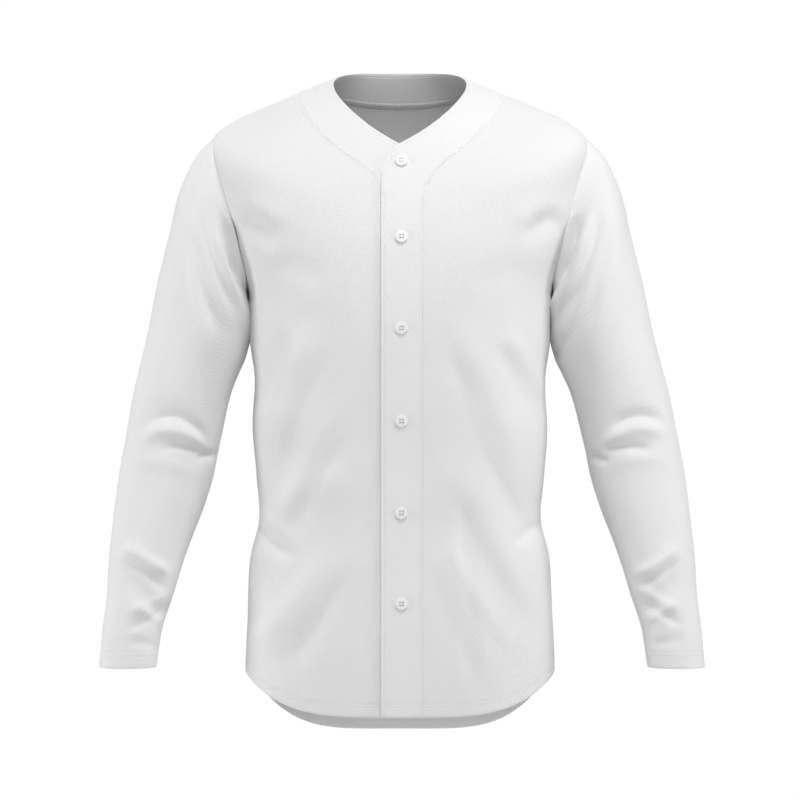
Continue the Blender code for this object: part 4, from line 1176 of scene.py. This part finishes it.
class Effects:
    """Node groups that the materials share."""

    yarn_scale: float = 1150.0
    yarn_detail: float = 2.0

    def __init__(self) -> None:
        """Build the groups once."""
        self.weave = self.make_weave()
        self.line = self.make_line()

    @staticmethod
    def group(name: str, inputs: tuple[str, ...], outputs: tuple[str, ...]) -> Wiring:
        """New group with number sockets."""
        tree = bpy.data.node_groups.new(name, "ShaderNodeTree")
        for socket in inputs:
            tree.interface.new_socket(socket, in_out="INPUT", socket_type="NodeSocketFloat")
        for socket in outputs:
            tree.interface.new_socket(socket, in_out="OUTPUT", socket_type="NodeSocketFloat")
        return Wiring(tree)

    def make_weave(self) -> bpy.types.NodeTree:
        """Diagonal criss-cross of small dots along the grain, and the fuzz of its yarn. The dots also mask
        the painted shade in the weave's hollows.
        """
        w = self.group("knit_weave", ("Pitch", "Relief", "Yarn"), ("Height", "Dots"))
        inputs, outputs = w.add("NodeGroupInput"), w.add("NodeGroupOutput")
        grain = w.add("ShaderNodeUVMap", uv_map="grain")
        split = w.add("ShaderNodeSeparateXYZ")
        w.join(grain.outputs["UV"], split.inputs[0])
        waves = []
        for way in ("X", "Y"):
            turns = w.sum("DIVIDE", split.outputs[way], inputs.outputs["Pitch"])
            waves.append(w.sum("COSINE", w.sum("MULTIPLY", turns, 2 * math.pi)))
        dots = w.sum("MULTIPLY", waves[0], waves[1])
        dots = w.sum("ADD", w.sum("MULTIPLY", dots, 0.5), 0.5)
        noise = w.add("ShaderNodeTexNoise", noise_dimensions="2D")
        noise.inputs["Scale"].default_value = self.yarn_scale
        noise.inputs["Detail"].default_value = self.yarn_detail
        w.join(grain.outputs["UV"], noise.inputs["Vector"])
        fuzz = w.sum("MULTIPLY", noise.outputs[0], inputs.outputs["Yarn"])
        height = w.sum("ADD", w.sum("MULTIPLY", dots, inputs.outputs["Relief"]), fuzz)
        w.join(height, outputs.inputs["Height"])
        w.join(dots, outputs.inputs["Dots"])
        return w.tree

    def make_line(self) -> bpy.types.NodeTree:
        """Soft groove at one distance from an edge."""
        w = self.group("sewn_line", ("Distance", "Line", "Width"), ("Mask",))
        inputs, outputs = w.add("NodeGroupInput"), w.add("NodeGroupOutput")
        off = w.sum("SUBTRACT", inputs.outputs["Distance"], inputs.outputs["Line"])
        off = w.sum("DIVIDE", off, inputs.outputs["Width"])
        square = w.sum("MULTIPLY", w.sum("MULTIPLY", off, off), -1.0)
        w.join(w.sum("EXPONENT", square), outputs.inputs["Mask"])
        return w.tree


class Materials:
    """Materials of every finish, made from their dataclasses."""

    def __init__(self) -> None:
        """Build the shared groups."""
        self.effects = Effects()

    @staticmethod
    def fresh(name: str, colour: tuple, roughness: float) -> tuple[bpy.types.Material, Wiring, object]:
        """New Principled material, its nodes and its shader."""
        made = bpy.data.materials.new(name)
        made.use_nodes = True
        shader = made.node_tree.nodes["Principled BSDF"]
        shader.inputs["Base Color"].default_value = (*colour, 1.0)
        shader.inputs["Roughness"].default_value = roughness
        return made, Wiring(made.node_tree), shader

    @staticmethod
    def bump(w: Wiring, shader: object, height: object) -> None:
        """Feed a height in metres to the shader's normal."""
        bump = w.add("ShaderNodeBump")
        bump.inputs["Strength"].default_value = 1.0
        bump.inputs["Distance"].default_value = 1.0
        w.join(height, bump.inputs["Height"])
        w.join(bump.outputs["Normal"], shader.inputs["Normal"])

    @staticmethod
    def tint(w: Wiring, shader: object, mask: object, colour: tuple, depth: float) -> None:
        """Darken a colour a little where a mask is low."""
        mix = w.add("ShaderNodeMix", data_type="RGBA")
        mix.inputs["A"].default_value = (*[c * (1 - depth) for c in colour], 1.0)
        mix.inputs["B"].default_value = (*colour, 1.0)
        w.join(mask, mix.inputs["Factor"])
        w.join(mix.outputs["Result"], shader.inputs["Base Color"])

    def cloth(self, finish: Cloth) -> bpy.types.Material:
        """Knit with its weave, painted shade in the weave's hollows, its sewn lines and a soft sheen.

        Args:
            finish: Sizes and colours of the knit.

        Returns:
            The material.
        """
        made, w, shader = self.fresh(finish.name, finish.colour, finish.roughness)
        shader.inputs["Sheen Weight"].default_value = finish.sheen
        shader.inputs["Sheen Roughness"].default_value = finish.sheen_roughness
        shader.inputs["Specular IOR Level"].default_value = finish.specular
        weave = w.add("ShaderNodeGroup", node_tree=self.effects.weave)
        weave.inputs["Pitch"].default_value = finish.pitch
        weave.inputs["Relief"].default_value = finish.relief
        weave.inputs["Yarn"].default_value = finish.yarn
        height = weave.outputs["Height"]
        sewn = {"hem": finish.hem_lines, "seam": finish.seam_lines, "edge": finish.edge_lines}
        for mark, lines in sewn.items():
            if not lines:
                continue
            distance = w.add("ShaderNodeAttribute", attribute_type="GEOMETRY", attribute_name=mark)
            for place in lines:
                line = w.add("ShaderNodeGroup", node_tree=self.effects.line)
                line.inputs["Line"].default_value = place
                line.inputs["Width"].default_value = finish.groove_width
                w.join(distance.outputs["Fac"], line.inputs["Distance"])
                height = w.sum("SUBTRACT", height, w.sum("MULTIPLY", line.outputs["Mask"], finish.groove))
        self.bump(w, shader, height)
        # Painted shade: the colour is darker in the hollows of the weave, where the dots are low
        self.tint(w, shader, weave.outputs["Dots"], finish.colour, finish.dots)
        return made

    def plain(self, finish: Plastic | Yarn) -> bpy.types.Material:
        """Smooth finish with fine unevenness.

        Args:
            finish: Sizes and colours of the finish.

        Returns:
            The material.
        """
        made, w, shader = self.fresh(finish.name, finish.colour, finish.roughness)
        place = w.add("ShaderNodeTexCoord")
        noise = w.add("ShaderNodeTexNoise")
        noise.inputs["Scale"].default_value = finish.noise_scale
        w.join(place.outputs["Object"], noise.inputs["Vector"])
        self.bump(w, shader, w.sum("MULTIPLY", noise.outputs[0], finish.relief))
        self.tint(w, shader, noise.outputs[0], finish.colour, finish.mottle)
        return made


@dataclass
class Stitching:
    """Sewing thread along a line: one short raised stitch after another."""

    name: str
    pitch: float = 0.0030
    length: float = 0.0023
    thickness: float = 0.00042
    proud: float = 0.00006
    sides: int = 4
    taper: float = 0.35
    full_at: float = 0.32

    def stitches(self, line: Array, normals: Array) -> tuple[list, list]:
        """Vertices and faces of every stitch along a line on the cloth.

        Args:
            line: Points of the line.
            normals: Outward directions at the points.

        Returns:
            Vertices and faces for from_pydata.
        """
        along = running(line, 0)
        total = float(along[-1])
        count = max(int(total / self.pitch), 1)
        verts, faces = [], []
        profile = ((-0.5, self.taper), (-self.full_at, 1.0), (self.full_at, 1.0), (0.5, self.taper))
        for k in range(count):
            centre = total * (k + 0.5) / count
            stations = [centre + share * self.length for share, _ in profile]
            places = [np.array([np.interp(s, along, line[:, a]) for a in range(3)]) for s in stations]
            normal = np.array([np.interp(centre, along, normals[:, a]) for a in range(3)])
            normal /= np.linalg.norm(normal)
            ahead = places[-1] - places[0]
            ahead /= np.linalg.norm(ahead)
            side = np.cross(ahead, normal)
            start = len(verts)
            for place, (_, share) in zip(places, profile):
                for m in range(self.sides):
                    turn = (m + 0.5) * 2 * math.pi / self.sides
                    out = (side * math.cos(turn) + normal * math.sin(turn)) * share * self.thickness / 2
                    level = self.proud + (share - 1) * self.thickness / 2
                    verts.append(tuple(place + out + normal * level))
            for r in range(len(profile) - 1):
                for m in range(self.sides):
                    a, b = start + r * self.sides + m, start + r * self.sides + (m + 1) % self.sides
                    faces.append((a, b, b + self.sides, a + self.sides))
            last = start + (len(profile) - 1) * self.sides
            faces.append(tuple(range(start + self.sides - 1, start - 1, -1)))
            faces.append(tuple(range(last, last + self.sides)))
        return verts, faces

    def sew(self, lines: list[tuple[Array, Array]], finish: bpy.types.Material) -> bpy.types.Object:
        """Make the object of the thread along lines of points and directions.

        Args:
            lines: Points and directions of each line.
            finish: Material of the thread.

        Returns:
            The finished object.
        """
        verts, faces = [], []
        for line, normals in lines:
            new_verts, new_faces = self.stitches(line, normals)
            faces += [tuple(v + len(verts) for v in face) for face in new_faces]
            verts += new_verts
        mesh = bpy.data.meshes.new(self.name)
        mesh.from_pydata(verts, [], faces)
        bm = bmesh.new()
        bm.from_mesh(mesh)
        bmesh.ops.recalc_face_normals(bm, faces=bm.faces)
        bm.to_mesh(mesh)
        bm.free()
        mesh.shade_smooth()
        mesh.materials.append(finish)
        piece = bpy.data.objects.new(self.name, mesh)
        bpy.context.scene.collection.objects.link(piece)
        return piece


def line_on(shell: Shell, away: Array, distance: float, axis: int) -> tuple[Array, Array]:
    """Line across a wall's outer face at a distance from one of its borders.

    Args:
        shell: The wall.
        away: Distance from the border at every point of the wall's grid.
        distance: The line's distance from the border, in metres.
        axis: Grid axis along which the distance grows, 0 for rows and 1 for columns.

    Returns:
        Points and directions along the line.
    """
    tables = [np.moveaxis(t, axis, -1 if t.ndim == 2 else -2) for t in (away, shell.points, shell.normals)]
    points, normals = [], []
    for distances, places, directions in zip(*tables):
        order = slice(None) if distances[-1] > distances[0] else slice(None, None, -1)
        if distances.max() < distance:
            continue
        at = [[np.interp(distance, distances[order], t[order][:, a]) for a in range(3)]
              for t in (places, directions)]
        points.append(at[0])
        normals.append(at[1])
    return np.array(points), unit(np.array(normals))


def dress(piece: bpy.types.Object, slot: str, *nodes: str) -> bpy.types.Object:
    """Ride a piece on the body, and hide the solids that it stands for."""
    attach(piece, "root")
    if nodes:
        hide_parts(*nodes)
    LOG.info("%s: %d faces", piece.name, len(piece.data.polygons))
    return piece


@dataclass
class Cut:
    """Flat size of a cut piece, in metres and square metres."""

    width: float
    length: float
    area: float

    @classmethod
    def of(cls, *shells: Shell) -> "Cut":
        """Size of the cloth of one piece, measured on its outer face.

        Args:
            *shells: Walls that make up the piece, side by side.

        Returns:
            Its width, length and area.
        """
        width = sum(float(running(shell.points, 1)[:, -1].max()) for shell in shells)
        length = max(float(running(shell.points, 0)[-1].max()) for shell in shells)
        area = 0.0
        for shell in shells:
            p = shell.points if not shell.closed else np.concatenate([shell.points, shell.points[:, :1]], 1)
            first = np.cross(p[:-1, 1:] - p[:-1, :-1], p[1:, :-1] - p[:-1, :-1])
            second = np.cross(p[1:, :-1] - p[1:, 1:], p[:-1, 1:] - p[1:, 1:])
            area += 0.5 * (np.linalg.norm(first, axis=-1).sum() + np.linalg.norm(second, axis=-1).sum())
        return cls(round(width, 3), round(length, 3), round(area, 4))

    def declare(self, piece: bpy.types.Object, rests_on: list[str], with_pieces: list) -> None:
        """Do nothing; no sheet is declared.

        Args:
            piece: Object of the sheet; not used.
            rests_on: Names of the pieces it is sewn to; not used.
            with_pieces: Objects that belong to it; not used.
        """


@dataclass
class Fronts:
    """Both fronts and both bands, with their sewing."""

    pattern: Pattern
    arms: dict[Side, Arm]
    materials: Materials
    cloth: Cloth
    band: Cloth
    yarn: bpy.types.Material
    grading: float = 1.5
    columns: int = 50
    band_columns: int = 12
    seam_steps: tuple[float, ...] = (0.003, 0.008)
    side_steps: tuple[float, ...] = (0.004, 0.010)
    band_edge_steps: tuple[float, ...] = (0.02, 0.06)
    band_seam_steps: tuple[float, ...] = (0.03, 0.07)

    def front(self, side: Side, finish: bpy.types.Material) -> tuple[bpy.types.Object, Shell]:
        """One front, from its placket seam to the side seam and the armhole.

        Args:
            side: Wearer's side.
            finish: Material of the cloth.

        Returns:
            The object and its wall.
        """
        p = self.pattern
        left = side is Side.LEFT
        last = p.side_line(True) * np.array([side.value, 1.0])
        shares = graded(self.columns, self.seam_steps, self.side_steps) ** self.grading
        level = (lambda x: 0.0 * x) if left else (lambda x: p.under_level(x, 0.0))
        name = "front_left_cloth" if left else "front_right_cloth"
        piece = BodyPiece(name, p, p.front_seam(p.top_seam_x if left else p.under_seam_x), last, shares,
                          CLOTH, level)
        shell = piece.shell(self.arms[side])
        return shell.build(finish), shell

    def front_band(self, side: Side, finish: bpy.types.Material) -> tuple[bpy.types.Object, Shell]:
        """Placket and neck band of one front, from the hem to the shoulder.

        Args:
            side: Wearer's side.
            finish: Material of the cloth.

        Returns:
            The object and its wall.
        """
        p = self.pattern
        left = side is Side.LEFT
        edge, seam = (p.top_edge_x, p.top_seam_x) if left else (p.under_edge_x, p.under_seam_x)
        shares = graded(self.band_columns, self.band_edge_steps, self.band_seam_steps)
        level = p.lifted_level if left else (lambda x: p.under_level(x, p.band_proud))
        name = "band_left_cloth" if left else "band_right_cloth"
        piece = BodyPiece(name, p, p.front_edge(edge), p.front_seam(seam), shares, BAND_CLOTH, level,
                          edges=(Edge.FREE, Edge.SEWN, Edge.FREE, Edge.SEWN), seam_column=-1, edge_column=0)
        shell = piece.shell()
        return shell.build(finish), shell

    def make(self) -> None:
        """Make the fronts, the bands and their thread."""
        cloth = self.materials.cloth(self.cloth)
        band = self.materials.cloth(self.band)
        for side in Side:
            word = side.name.lower()
            front, shell = self.front(side, cloth)
            piece, strip = self.front_band(side, band)
            hems = [line_on(s, running(s.points, 0), d, 0) for s in (shell, strip) for d in HEM_LINES]
            across = running(strip.points, 1)
            seam = line_on(strip, across[:, -1:] - across, TOPSTITCH, 1)
            edge = line_on(strip, across, EDGE_STITCH, 1)
            hem_thread = Stitching(f"hem_thread_{word}").sew(hems, self.yarn)
            band_thread = Stitching(f"band_thread_{word}").sew([seam, edge], self.yarn)
            dress(front, "cloth", f"front_{word}")
            dress(piece, "band_cloth", f"band_{word}")
            dress(hem_thread, "cloth")
            dress(band_thread, "band_cloth")
            Cut.of(shell).declare(front, [piece.name], [hem_thread])
            Cut.of(strip).declare(piece, [front.name], [band_thread])


@dataclass
class BackAssembly:
    """The back, its neck band and the tape inside it."""

    pattern: Pattern
    arms: dict[Side, Arm]
    materials: Materials
    cloth: Cloth
    band: Cloth
    tape: Cloth
    yarn: bpy.types.Material
    tape_gap: float = 0.0003
    tape_above: float = 0.0038
    tape_below: float = 0.0039
    tape_columns: tuple[float, ...] = (1.0, 0.9, 0.5, 0.0, 0.5, 0.9, 1.0)
    tape_margin: float = 0.16
    columns: int = 50
    centre_steps: tuple[float, ...] = (0.010,)
    side_steps: tuple[float, ...] = (0.004, 0.010)
    band_rows: int = 72
    band_columns: int = 12
    band_seam_steps: tuple[float, ...] = (0.03, 0.07)
    band_edge_steps: tuple[float, ...] = (0.02, 0.06)

    def half(self, side: Side) -> Shell:
        """Half of the back, up to the centre.

        Args:
            side: Wearer's side.

        Returns:
            The wall of that half.
        """
        p = self.pattern
        turned = np.array([side.value, 1.0])
        piece = BodyPiece("back_cloth", p, p.back_line() * turned, p.side_line(False) * turned,
                          graded(self.columns, self.centre_steps, self.side_steps), CLOTH,
                          lambda x: 0.0 * x, False, p.joined_rows(), behind=True)
        return piece.shell(self.arms[side])

    def ring_angles(self, margin: float) -> Array:
        """Angles round the back of the neck, from the left shoulder to the right."""
        return np.linspace(SIDE + margin, 3 * math.pi / 2 - margin, self.band_rows)

    def neck_band(self) -> Shell:
        """Neck band across the back, between the shoulder seams."""
        p, up = self.pattern, self.pattern.body.up
        angles = self.ring_angles(0.0)
        first, last = (np.stack([angles, np.full(angles.shape, up[name])], -1) for name in ("band", "neck"))
        shares = graded(self.band_columns, self.band_seam_steps, self.band_edge_steps)
        piece = BodyPiece("band_back_cloth", p, first, last, shares, BAND_CLOTH,
                          lambda x: p.band_proud + 0.0 * x, behind=True,
                          edges=(Edge.SEWN, Edge.SEWN, Edge.SEWN, Edge.FREE), edge_column=-1)
        return piece.shell()

    def neck_tape(self) -> Shell:
        """Narrow tape inside the back of the neck, over the band seam."""
        body, up, p = self.pattern.body, self.pattern.body.up, self.pattern
        angles = self.ring_angles(self.tape_margin)
        level = np.full(angles.shape, p.band_proud - BAND_CLOTH - self.tape_gap)
        seam = body.point(angles, np.full(angles.shape, up["band"]), level)
        above = body.point(angles, np.full(angles.shape, up["collar"]), level)
        below = body.point(angles, np.full(angles.shape, up["mid_shoulder"]), level)
        down, up_way = unit(below - seam) * self.tape_below, unit(above - seam) * self.tape_above
        ways = [down] * 3 + [0 * seam] + [up_way] * 3
        points = np.stack([seam + way * share for way, share in zip(ways, self.tape_columns)], 1)
        normal = body.normal(angles, np.full(angles.shape, up["band"]))
        normals = np.repeat(normal[:, None], len(self.tape_columns), 1)
        grain = np.stack([running(points, 0), running(points, 1)], -1)
        marks = {"hem": np.ones(grain.shape[:2]), "seam": np.ones(grain.shape[:2]), "edge": grain[..., 1]}
        return Shell("neck_tape_cloth", points, normals, TAPE_CLOTH, grain, marks,
                     edges=(Edge.FREE,) * 4)

    def make(self) -> None:
        """Make the back, its band, the tape and their thread."""
        cloth, band = self.materials.cloth(self.cloth), self.materials.cloth(self.band)
        left, right = self.half(Side.LEFT), self.half(Side.RIGHT)
        back = left.build(cloth, right)
        strip, tape = self.neck_band(), self.neck_tape()
        neck = strip.build(band)
        tape_piece = tape.build(self.materials.cloth(self.tape))
        hems = [line_on(s, running(s.points, 0), d, 0) for s in (left, right) for d in HEM_LINES]
        hem_thread = Stitching("hem_thread_back").sew(hems, self.yarn)
        seam = line_on(strip, running(strip.points, 1), TOPSTITCH, 1)
        band_thread = Stitching("band_thread_back").sew([seam], self.yarn)
        dress(back, "cloth", "back")
        dress(neck, "band_cloth", "band_back")
        dress(tape_piece, "tape", "neck_tape")
        dress(hem_thread, "cloth")
        dress(band_thread, "band_cloth")
        Cut.of(left, right).declare(back, [neck.name], [hem_thread])
        Cut.of(strip).declare(neck, [back.name], [band_thread, tape_piece])


@dataclass
class Sleeve:
    """One long sleeve with its turned, twin-stitched cuff edge."""

    side: Side
    arm: Arm
    materials: Materials
    cloth: Cloth
    yarn: bpy.types.Material
    rows: int = 160
    columns: int = 112
    seam_steps: tuple[float, ...] = (0.0016, 0.0040)
    cuff_steps: tuple[float, ...] = (0.0012, 0.0030, 0.0060)

    def shell(self) -> Shell:
        """The wall of the sleeve."""
        turn = -SIDE + np.arange(self.columns) / self.columns * 2 * math.pi
        down = graded(self.rows, self.seam_steps, self.cuff_steps) * self.arm.length
        points, normals = self.arm.cloth(turn[None, :], down[:, None])
        looped = np.concatenate([points, points[:, :1]], 1)
        below = running(looped, 0)
        from_cuff = below[-1:] - below
        grain = np.stack([running(looped, 1), from_cuff], -1)
        marks = {"hem": from_cuff[:, :-1], "seam": below[:, :-1], "edge": np.ones(points.shape[:2])}
        name = f"sleeve_{self.side.name.lower()}_cloth"
        return Shell(name, points, normals, CLOTH, grain, marks, closed=True,
                     edges=(Edge.SEWN, Edge.FREE, None, None))

    def make(self) -> None:
        """Make the sleeve and its thread."""
        word = self.side.name.lower()
        shell = self.shell()
        piece = shell.build(self.materials.cloth(self.cloth))
        lines = []
        for distance in CUFF_LINES:
            line, normals = line_on(shell, shell.marks["hem"], distance, 0)
            lines.append((np.concatenate([line, line[:1]]), np.concatenate([normals, normals[:1]])))
        thread = Stitching(f"cuff_thread_{word}").sew(lines, self.yarn)
        dress(piece, "sleeve_cloth", f"sleeve_{word}")
        dress(thread, "sleeve_cloth")
        Cut.of(shell).declare(piece, [f"front_{word}_cloth", "back_cloth"], [thread])


@dataclass
class Buttons:
    """Six four-hole buttons down the top placket, and the thread through their holes."""

    pattern: Pattern
    plastic: bpy.types.Material
    yarn: bpy.types.Material
    x: float = 0.00175
    heights: tuple[float, ...] = (-0.0973, -0.1851, -0.2884, -0.3938, -0.4982, -0.6013)
    radius: float = 0.0076
    thickness: float = 0.0028
    rim: float = 0.0015
    rim_slope: float = 0.0007
    dish: float = 0.0006
    bevel: float = 0.0006
    bevel_segments: int = 3
    bevel_angle: float = math.radians(20.0)
    smooth_angle: float = math.radians(35.0)
    top_facing: float = 0.9
    hole_sides: int = 14
    hole_radius: float = 0.00098
    hole_offset: float = 0.00170
    gap: float = 0.0004
    sides: int = 56
    thread_radius: float = 0.00012
    thread_reach: float = 2.4
    thread_path: tuple[tuple[float, float], ...] = (
        (-1.0, -0.0006), (-0.72, 0.00030), (0.0, 0.00046), (0.72, 0.00030), (1.0, -0.0006))

    @staticmethod
    def alone(piece: bpy.types.Object) -> None:
        """Select one object only."""
        bpy.ops.object.select_all(action="DESELECT")
        piece.select_set(True)
        bpy.context.view_layer.objects.active = piece

    def disc(self) -> bpy.types.Object:
        """Turned disc with a rim and a shallow dish, its back at the origin."""
        bpy.ops.object.select_all(action="DESELECT")
        bpy.ops.mesh.primitive_cylinder_add(vertices=self.sides, radius=self.radius, depth=self.thickness,
                                            location=(0.0, 0.0, self.thickness / 2))
        blank = bpy.context.active_object
        self.alone(blank)
        bpy.ops.object.transform_apply(location=True, rotation=True, scale=True)
        for face in blank.data.polygons:
            face.select = face.normal.z > self.top_facing
        bpy.ops.object.mode_set(mode="EDIT")
        bpy.ops.mesh.select_mode(type="FACE")
        bpy.ops.mesh.inset(thickness=self.rim, depth=0.0)
        bpy.ops.mesh.inset(thickness=self.rim_slope, depth=-self.dish)
        bpy.ops.object.mode_set(mode="OBJECT")
        bevel = blank.modifiers.new("soft_edges", "BEVEL")
        bevel.width = self.bevel
        bevel.segments = self.bevel_segments
        bevel.angle_limit = self.bevel_angle
        bpy.ops.object.modifier_apply(modifier=bevel.name)
        return blank

    def drill(self, blank: bpy.types.Object) -> None:
        """Cut the four holes."""
        pins = []
        for right, up in ((-1, -1), (1, -1), (1, 1), (-1, 1)):
            bpy.ops.object.select_all(action="DESELECT")
            place = (right * self.hole_offset, up * self.hole_offset, self.thickness / 2)
            bpy.ops.mesh.primitive_cylinder_add(vertices=self.hole_sides, radius=self.hole_radius,
                                                depth=3 * self.thickness, location=place)
            pins.append(bpy.context.active_object)
        for pin in pins:
            cut = blank.modifiers.new("hole", "BOOLEAN")
            cut.operation = "DIFFERENCE"
            cut.solver = "EXACT"
            cut.object = pin
            self.alone(blank)
            bpy.ops.object.modifier_apply(modifier=cut.name)
        for pin in pins:
            bpy.data.objects.remove(pin)

    def sewn_thread(self) -> bpy.types.Object:
        """Two strands of thread between the holes, dipping into them."""
        deck = self.thickness - self.dish
        lines = []
        for right in (-1, 1):
            line = np.array([(right * self.hole_offset, s * self.hole_offset, deck + h)
                             for s, h in self.thread_path])
            lines.append((line, np.tile((0.0, 0.0, 1.0), (len(line), 1))))
        sewing = Stitching("button_thread", pitch=1.0, length=self.hole_offset * self.thread_reach,
                           thickness=self.thread_radius * 2, sides=6, taper=0.7)
        return sewing.sew(lines, self.yarn)

    def make(self) -> None:
        """Make one button and its thread, and sew copies down the placket."""
        blank, thread = self.disc(), self.sewn_thread()
        self.drill(blank)
        self.alone(blank)
        bpy.ops.object.shade_smooth_by_angle(angle=self.smooth_angle)
        blank.data.materials.clear()
        blank.data.materials.append(self.plastic)
        body = self.pattern.body
        level = float(self.pattern.top_level(np.array(self.x))) + self.gap
        for number, z in enumerate(self.heights, start=1):
            up = body.up_on_front(self.x, z)
            angle = body.angle_at_x(np.array(self.x), up)
            normal = Vector(body.normal(angle, up))
            seat = Vector(body.base(angle, up)) + normal * level
            turned = Vector((0.0, 0.0, 1.0)).rotation_difference(normal)
            place = Matrix.Translation(seat) @ turned.to_matrix().to_4x4()
            for part, name in ((blank, f"button_{number}_disc"), (thread, f"button_{number}_thread")):
                mesh = part.data.copy()
                mesh.transform(place)
                piece = bpy.data.objects.new(name, mesh)
                bpy.context.scene.collection.objects.link(piece)
                dress(piece, "button", *([f"button_{number}"] if part is blank else []))
        for part in (blank, thread):
            bpy.data.objects.remove(part)


@dataclass
class Lamp:
    """One soft studio light, in metres and watts."""

    name: str
    place: tuple[float, float, float]
    aim: tuple[float, float, float]
    size: float
    power: float


@dataclass
class Studio:
    """White ground, soft light and the camera level with the middle of the jersey."""

    distance: float = 4.0
    height: float = -0.370
    frame_width: float = 0.936
    sensor: float = 36.0
    floor_z: float = -1.25
    floor_size: float = 5.0
    floor_tone: float = 0.74
    floor_roughness: float = 0.9
    floor_specular: float = 0.1
    far_clip: float = 60.0
    ambient: float = 0.27
    white: float = 1.02
    lamps: tuple[Lamp, ...] = (
        Lamp("key", (0.35, -1.05, 1.45), (0.0, 0.0, -0.20), 0.7, 23.0),
        Lamp("side_right", (-2.2, -0.75, -0.35), (0.0, 0.0, -0.50), 0.8, 18.0),
        Lamp("side_left", (2.2, -0.85, -0.25), (0.0, 0.0, -0.50), 0.8, 16.5),
        Lamp("front", (0.1, -2.8, 1.3), (0.0, 0.0, -0.05), 0.8, 12.0),
        Lamp("back", (0.4, 2.4, 1.6), (0.0, 0.0, -0.30), 1.2, 13.0),
        Lamp("back_side", (-2.3, 1.5, 0.5), (0.0, 0.0, -0.40), 0.6, 15.0),
    )

    def make(self) -> None:
        """Set up the camera, the ground, the world and the lamps."""
        self.camera()
        self.ground()
        self.world()
        for lamp in self.lamps:
            light = bpy.data.lights.new(lamp.name, "AREA")
            light.size, light.energy = lamp.size, lamp.power
            holder = bpy.data.objects.new(lamp.name, light)
            holder.location = lamp.place
            holder.rotation_mode = "QUATERNION"
            holder.rotation_quaternion = (Vector(lamp.aim) - Vector(lamp.place)).to_track_quat("-Z", "Y")
            bpy.context.scene.collection.objects.link(holder)

    def camera(self) -> None:
        """Camera at the photograph's angle."""
        lens = bpy.data.cameras.new("camera")
        lens.sensor_width = self.sensor
        lens.lens = self.sensor * self.distance / self.frame_width
        lens.clip_end = self.far_clip
        holder = bpy.data.objects.new("camera", lens)
        holder.location = (0.0, -self.distance, self.height)
        holder.rotation_euler = (math.pi / 2, 0.0, 0.0)
        bpy.context.scene.collection.objects.link(holder)
        bpy.context.scene.camera = holder

    def ground(self) -> None:
        """Plain pale floor under the jersey."""
        bpy.ops.object.select_all(action="DESELECT")
        bpy.ops.mesh.primitive_circle_add(vertices=96, radius=self.floor_size / 2, fill_type="NGON",
                                          location=(0.0, 0.0, self.floor_z))
        floor = bpy.context.active_object
        floor.name = "floor"
        made, _, shader = Materials.fresh("pale_floor", (self.floor_tone,) * 3, self.floor_roughness)
        shader.inputs["Specular IOR Level"].default_value = self.floor_specular
        floor.data.materials.append(made)

    def world(self) -> None:
        """Even light all round, with pure white behind the object."""
        world = bpy.data.worlds.new("studio")
        world.use_nodes = True
        bpy.context.scene.world = world
        w = Wiring(world.node_tree)
        shade = world.node_tree.nodes["Background"]
        shade.inputs["Color"].default_value = (1.0, 1.0, 1.0, 1.0)
        shade.inputs["Strength"].default_value = self.ambient
        white = w.add("ShaderNodeBackground")
        white.inputs["Color"].default_value = (1.0, 1.0, 1.0, 1.0)
        white.inputs["Strength"].default_value = self.white
        seen = w.add("ShaderNodeLightPath")
        mix = w.add("ShaderNodeMixShader")
        w.join(seen.outputs["Is Camera Ray"], mix.inputs["Fac"])
        w.join(shade.outputs[0], mix.inputs[1])
        w.join(white.outputs[0], mix.inputs[2])
        w.join(mix.outputs[0], world.node_tree.nodes["World Output"].inputs["Surface"])
        bpy.context.scene.view_settings.view_transform = "Standard"


def main() -> None:
    """Build the jersey in order, from its body surface to its buttons, then the studio."""
    logging.basicConfig(level=logging.INFO, format="%(name)s: %(message)s")
    body = Body()
    arms = {Side.LEFT: Arm(body, Side.LEFT, swing=0.0045), Side.RIGHT: Arm(body, Side.RIGHT)}
    pattern = Pattern(body)
    materials = Materials()
    yarn = materials.plain(Yarn())
    cloth = Cloth("jersey_knit")
    band = Cloth("band_knit", colour=(0.88, 0.88, 0.888), seam_lines=(TOPSTITCH,), edge_lines=(EDGE_STITCH,))
    sleeve = Cloth("sleeve_knit", hem_lines=CUFF_LINES)
    tape = Cloth("neck_tape_knit", colour=(0.80, 0.80, 0.81), hem_lines=(), edge_lines=TAPE_LINES)
    Fronts(pattern, arms, materials, cloth, band, yarn).make()
    BackAssembly(pattern, arms, materials, cloth, band, tape, yarn).make()
    for side in Side:
        Sleeve(side, arms[side], materials, sleeve, yarn).make()
    Buttons(pattern, materials.plain(Plastic()), yarn).make()
    Studio().make()


if __name__ == "__main__":
    main()
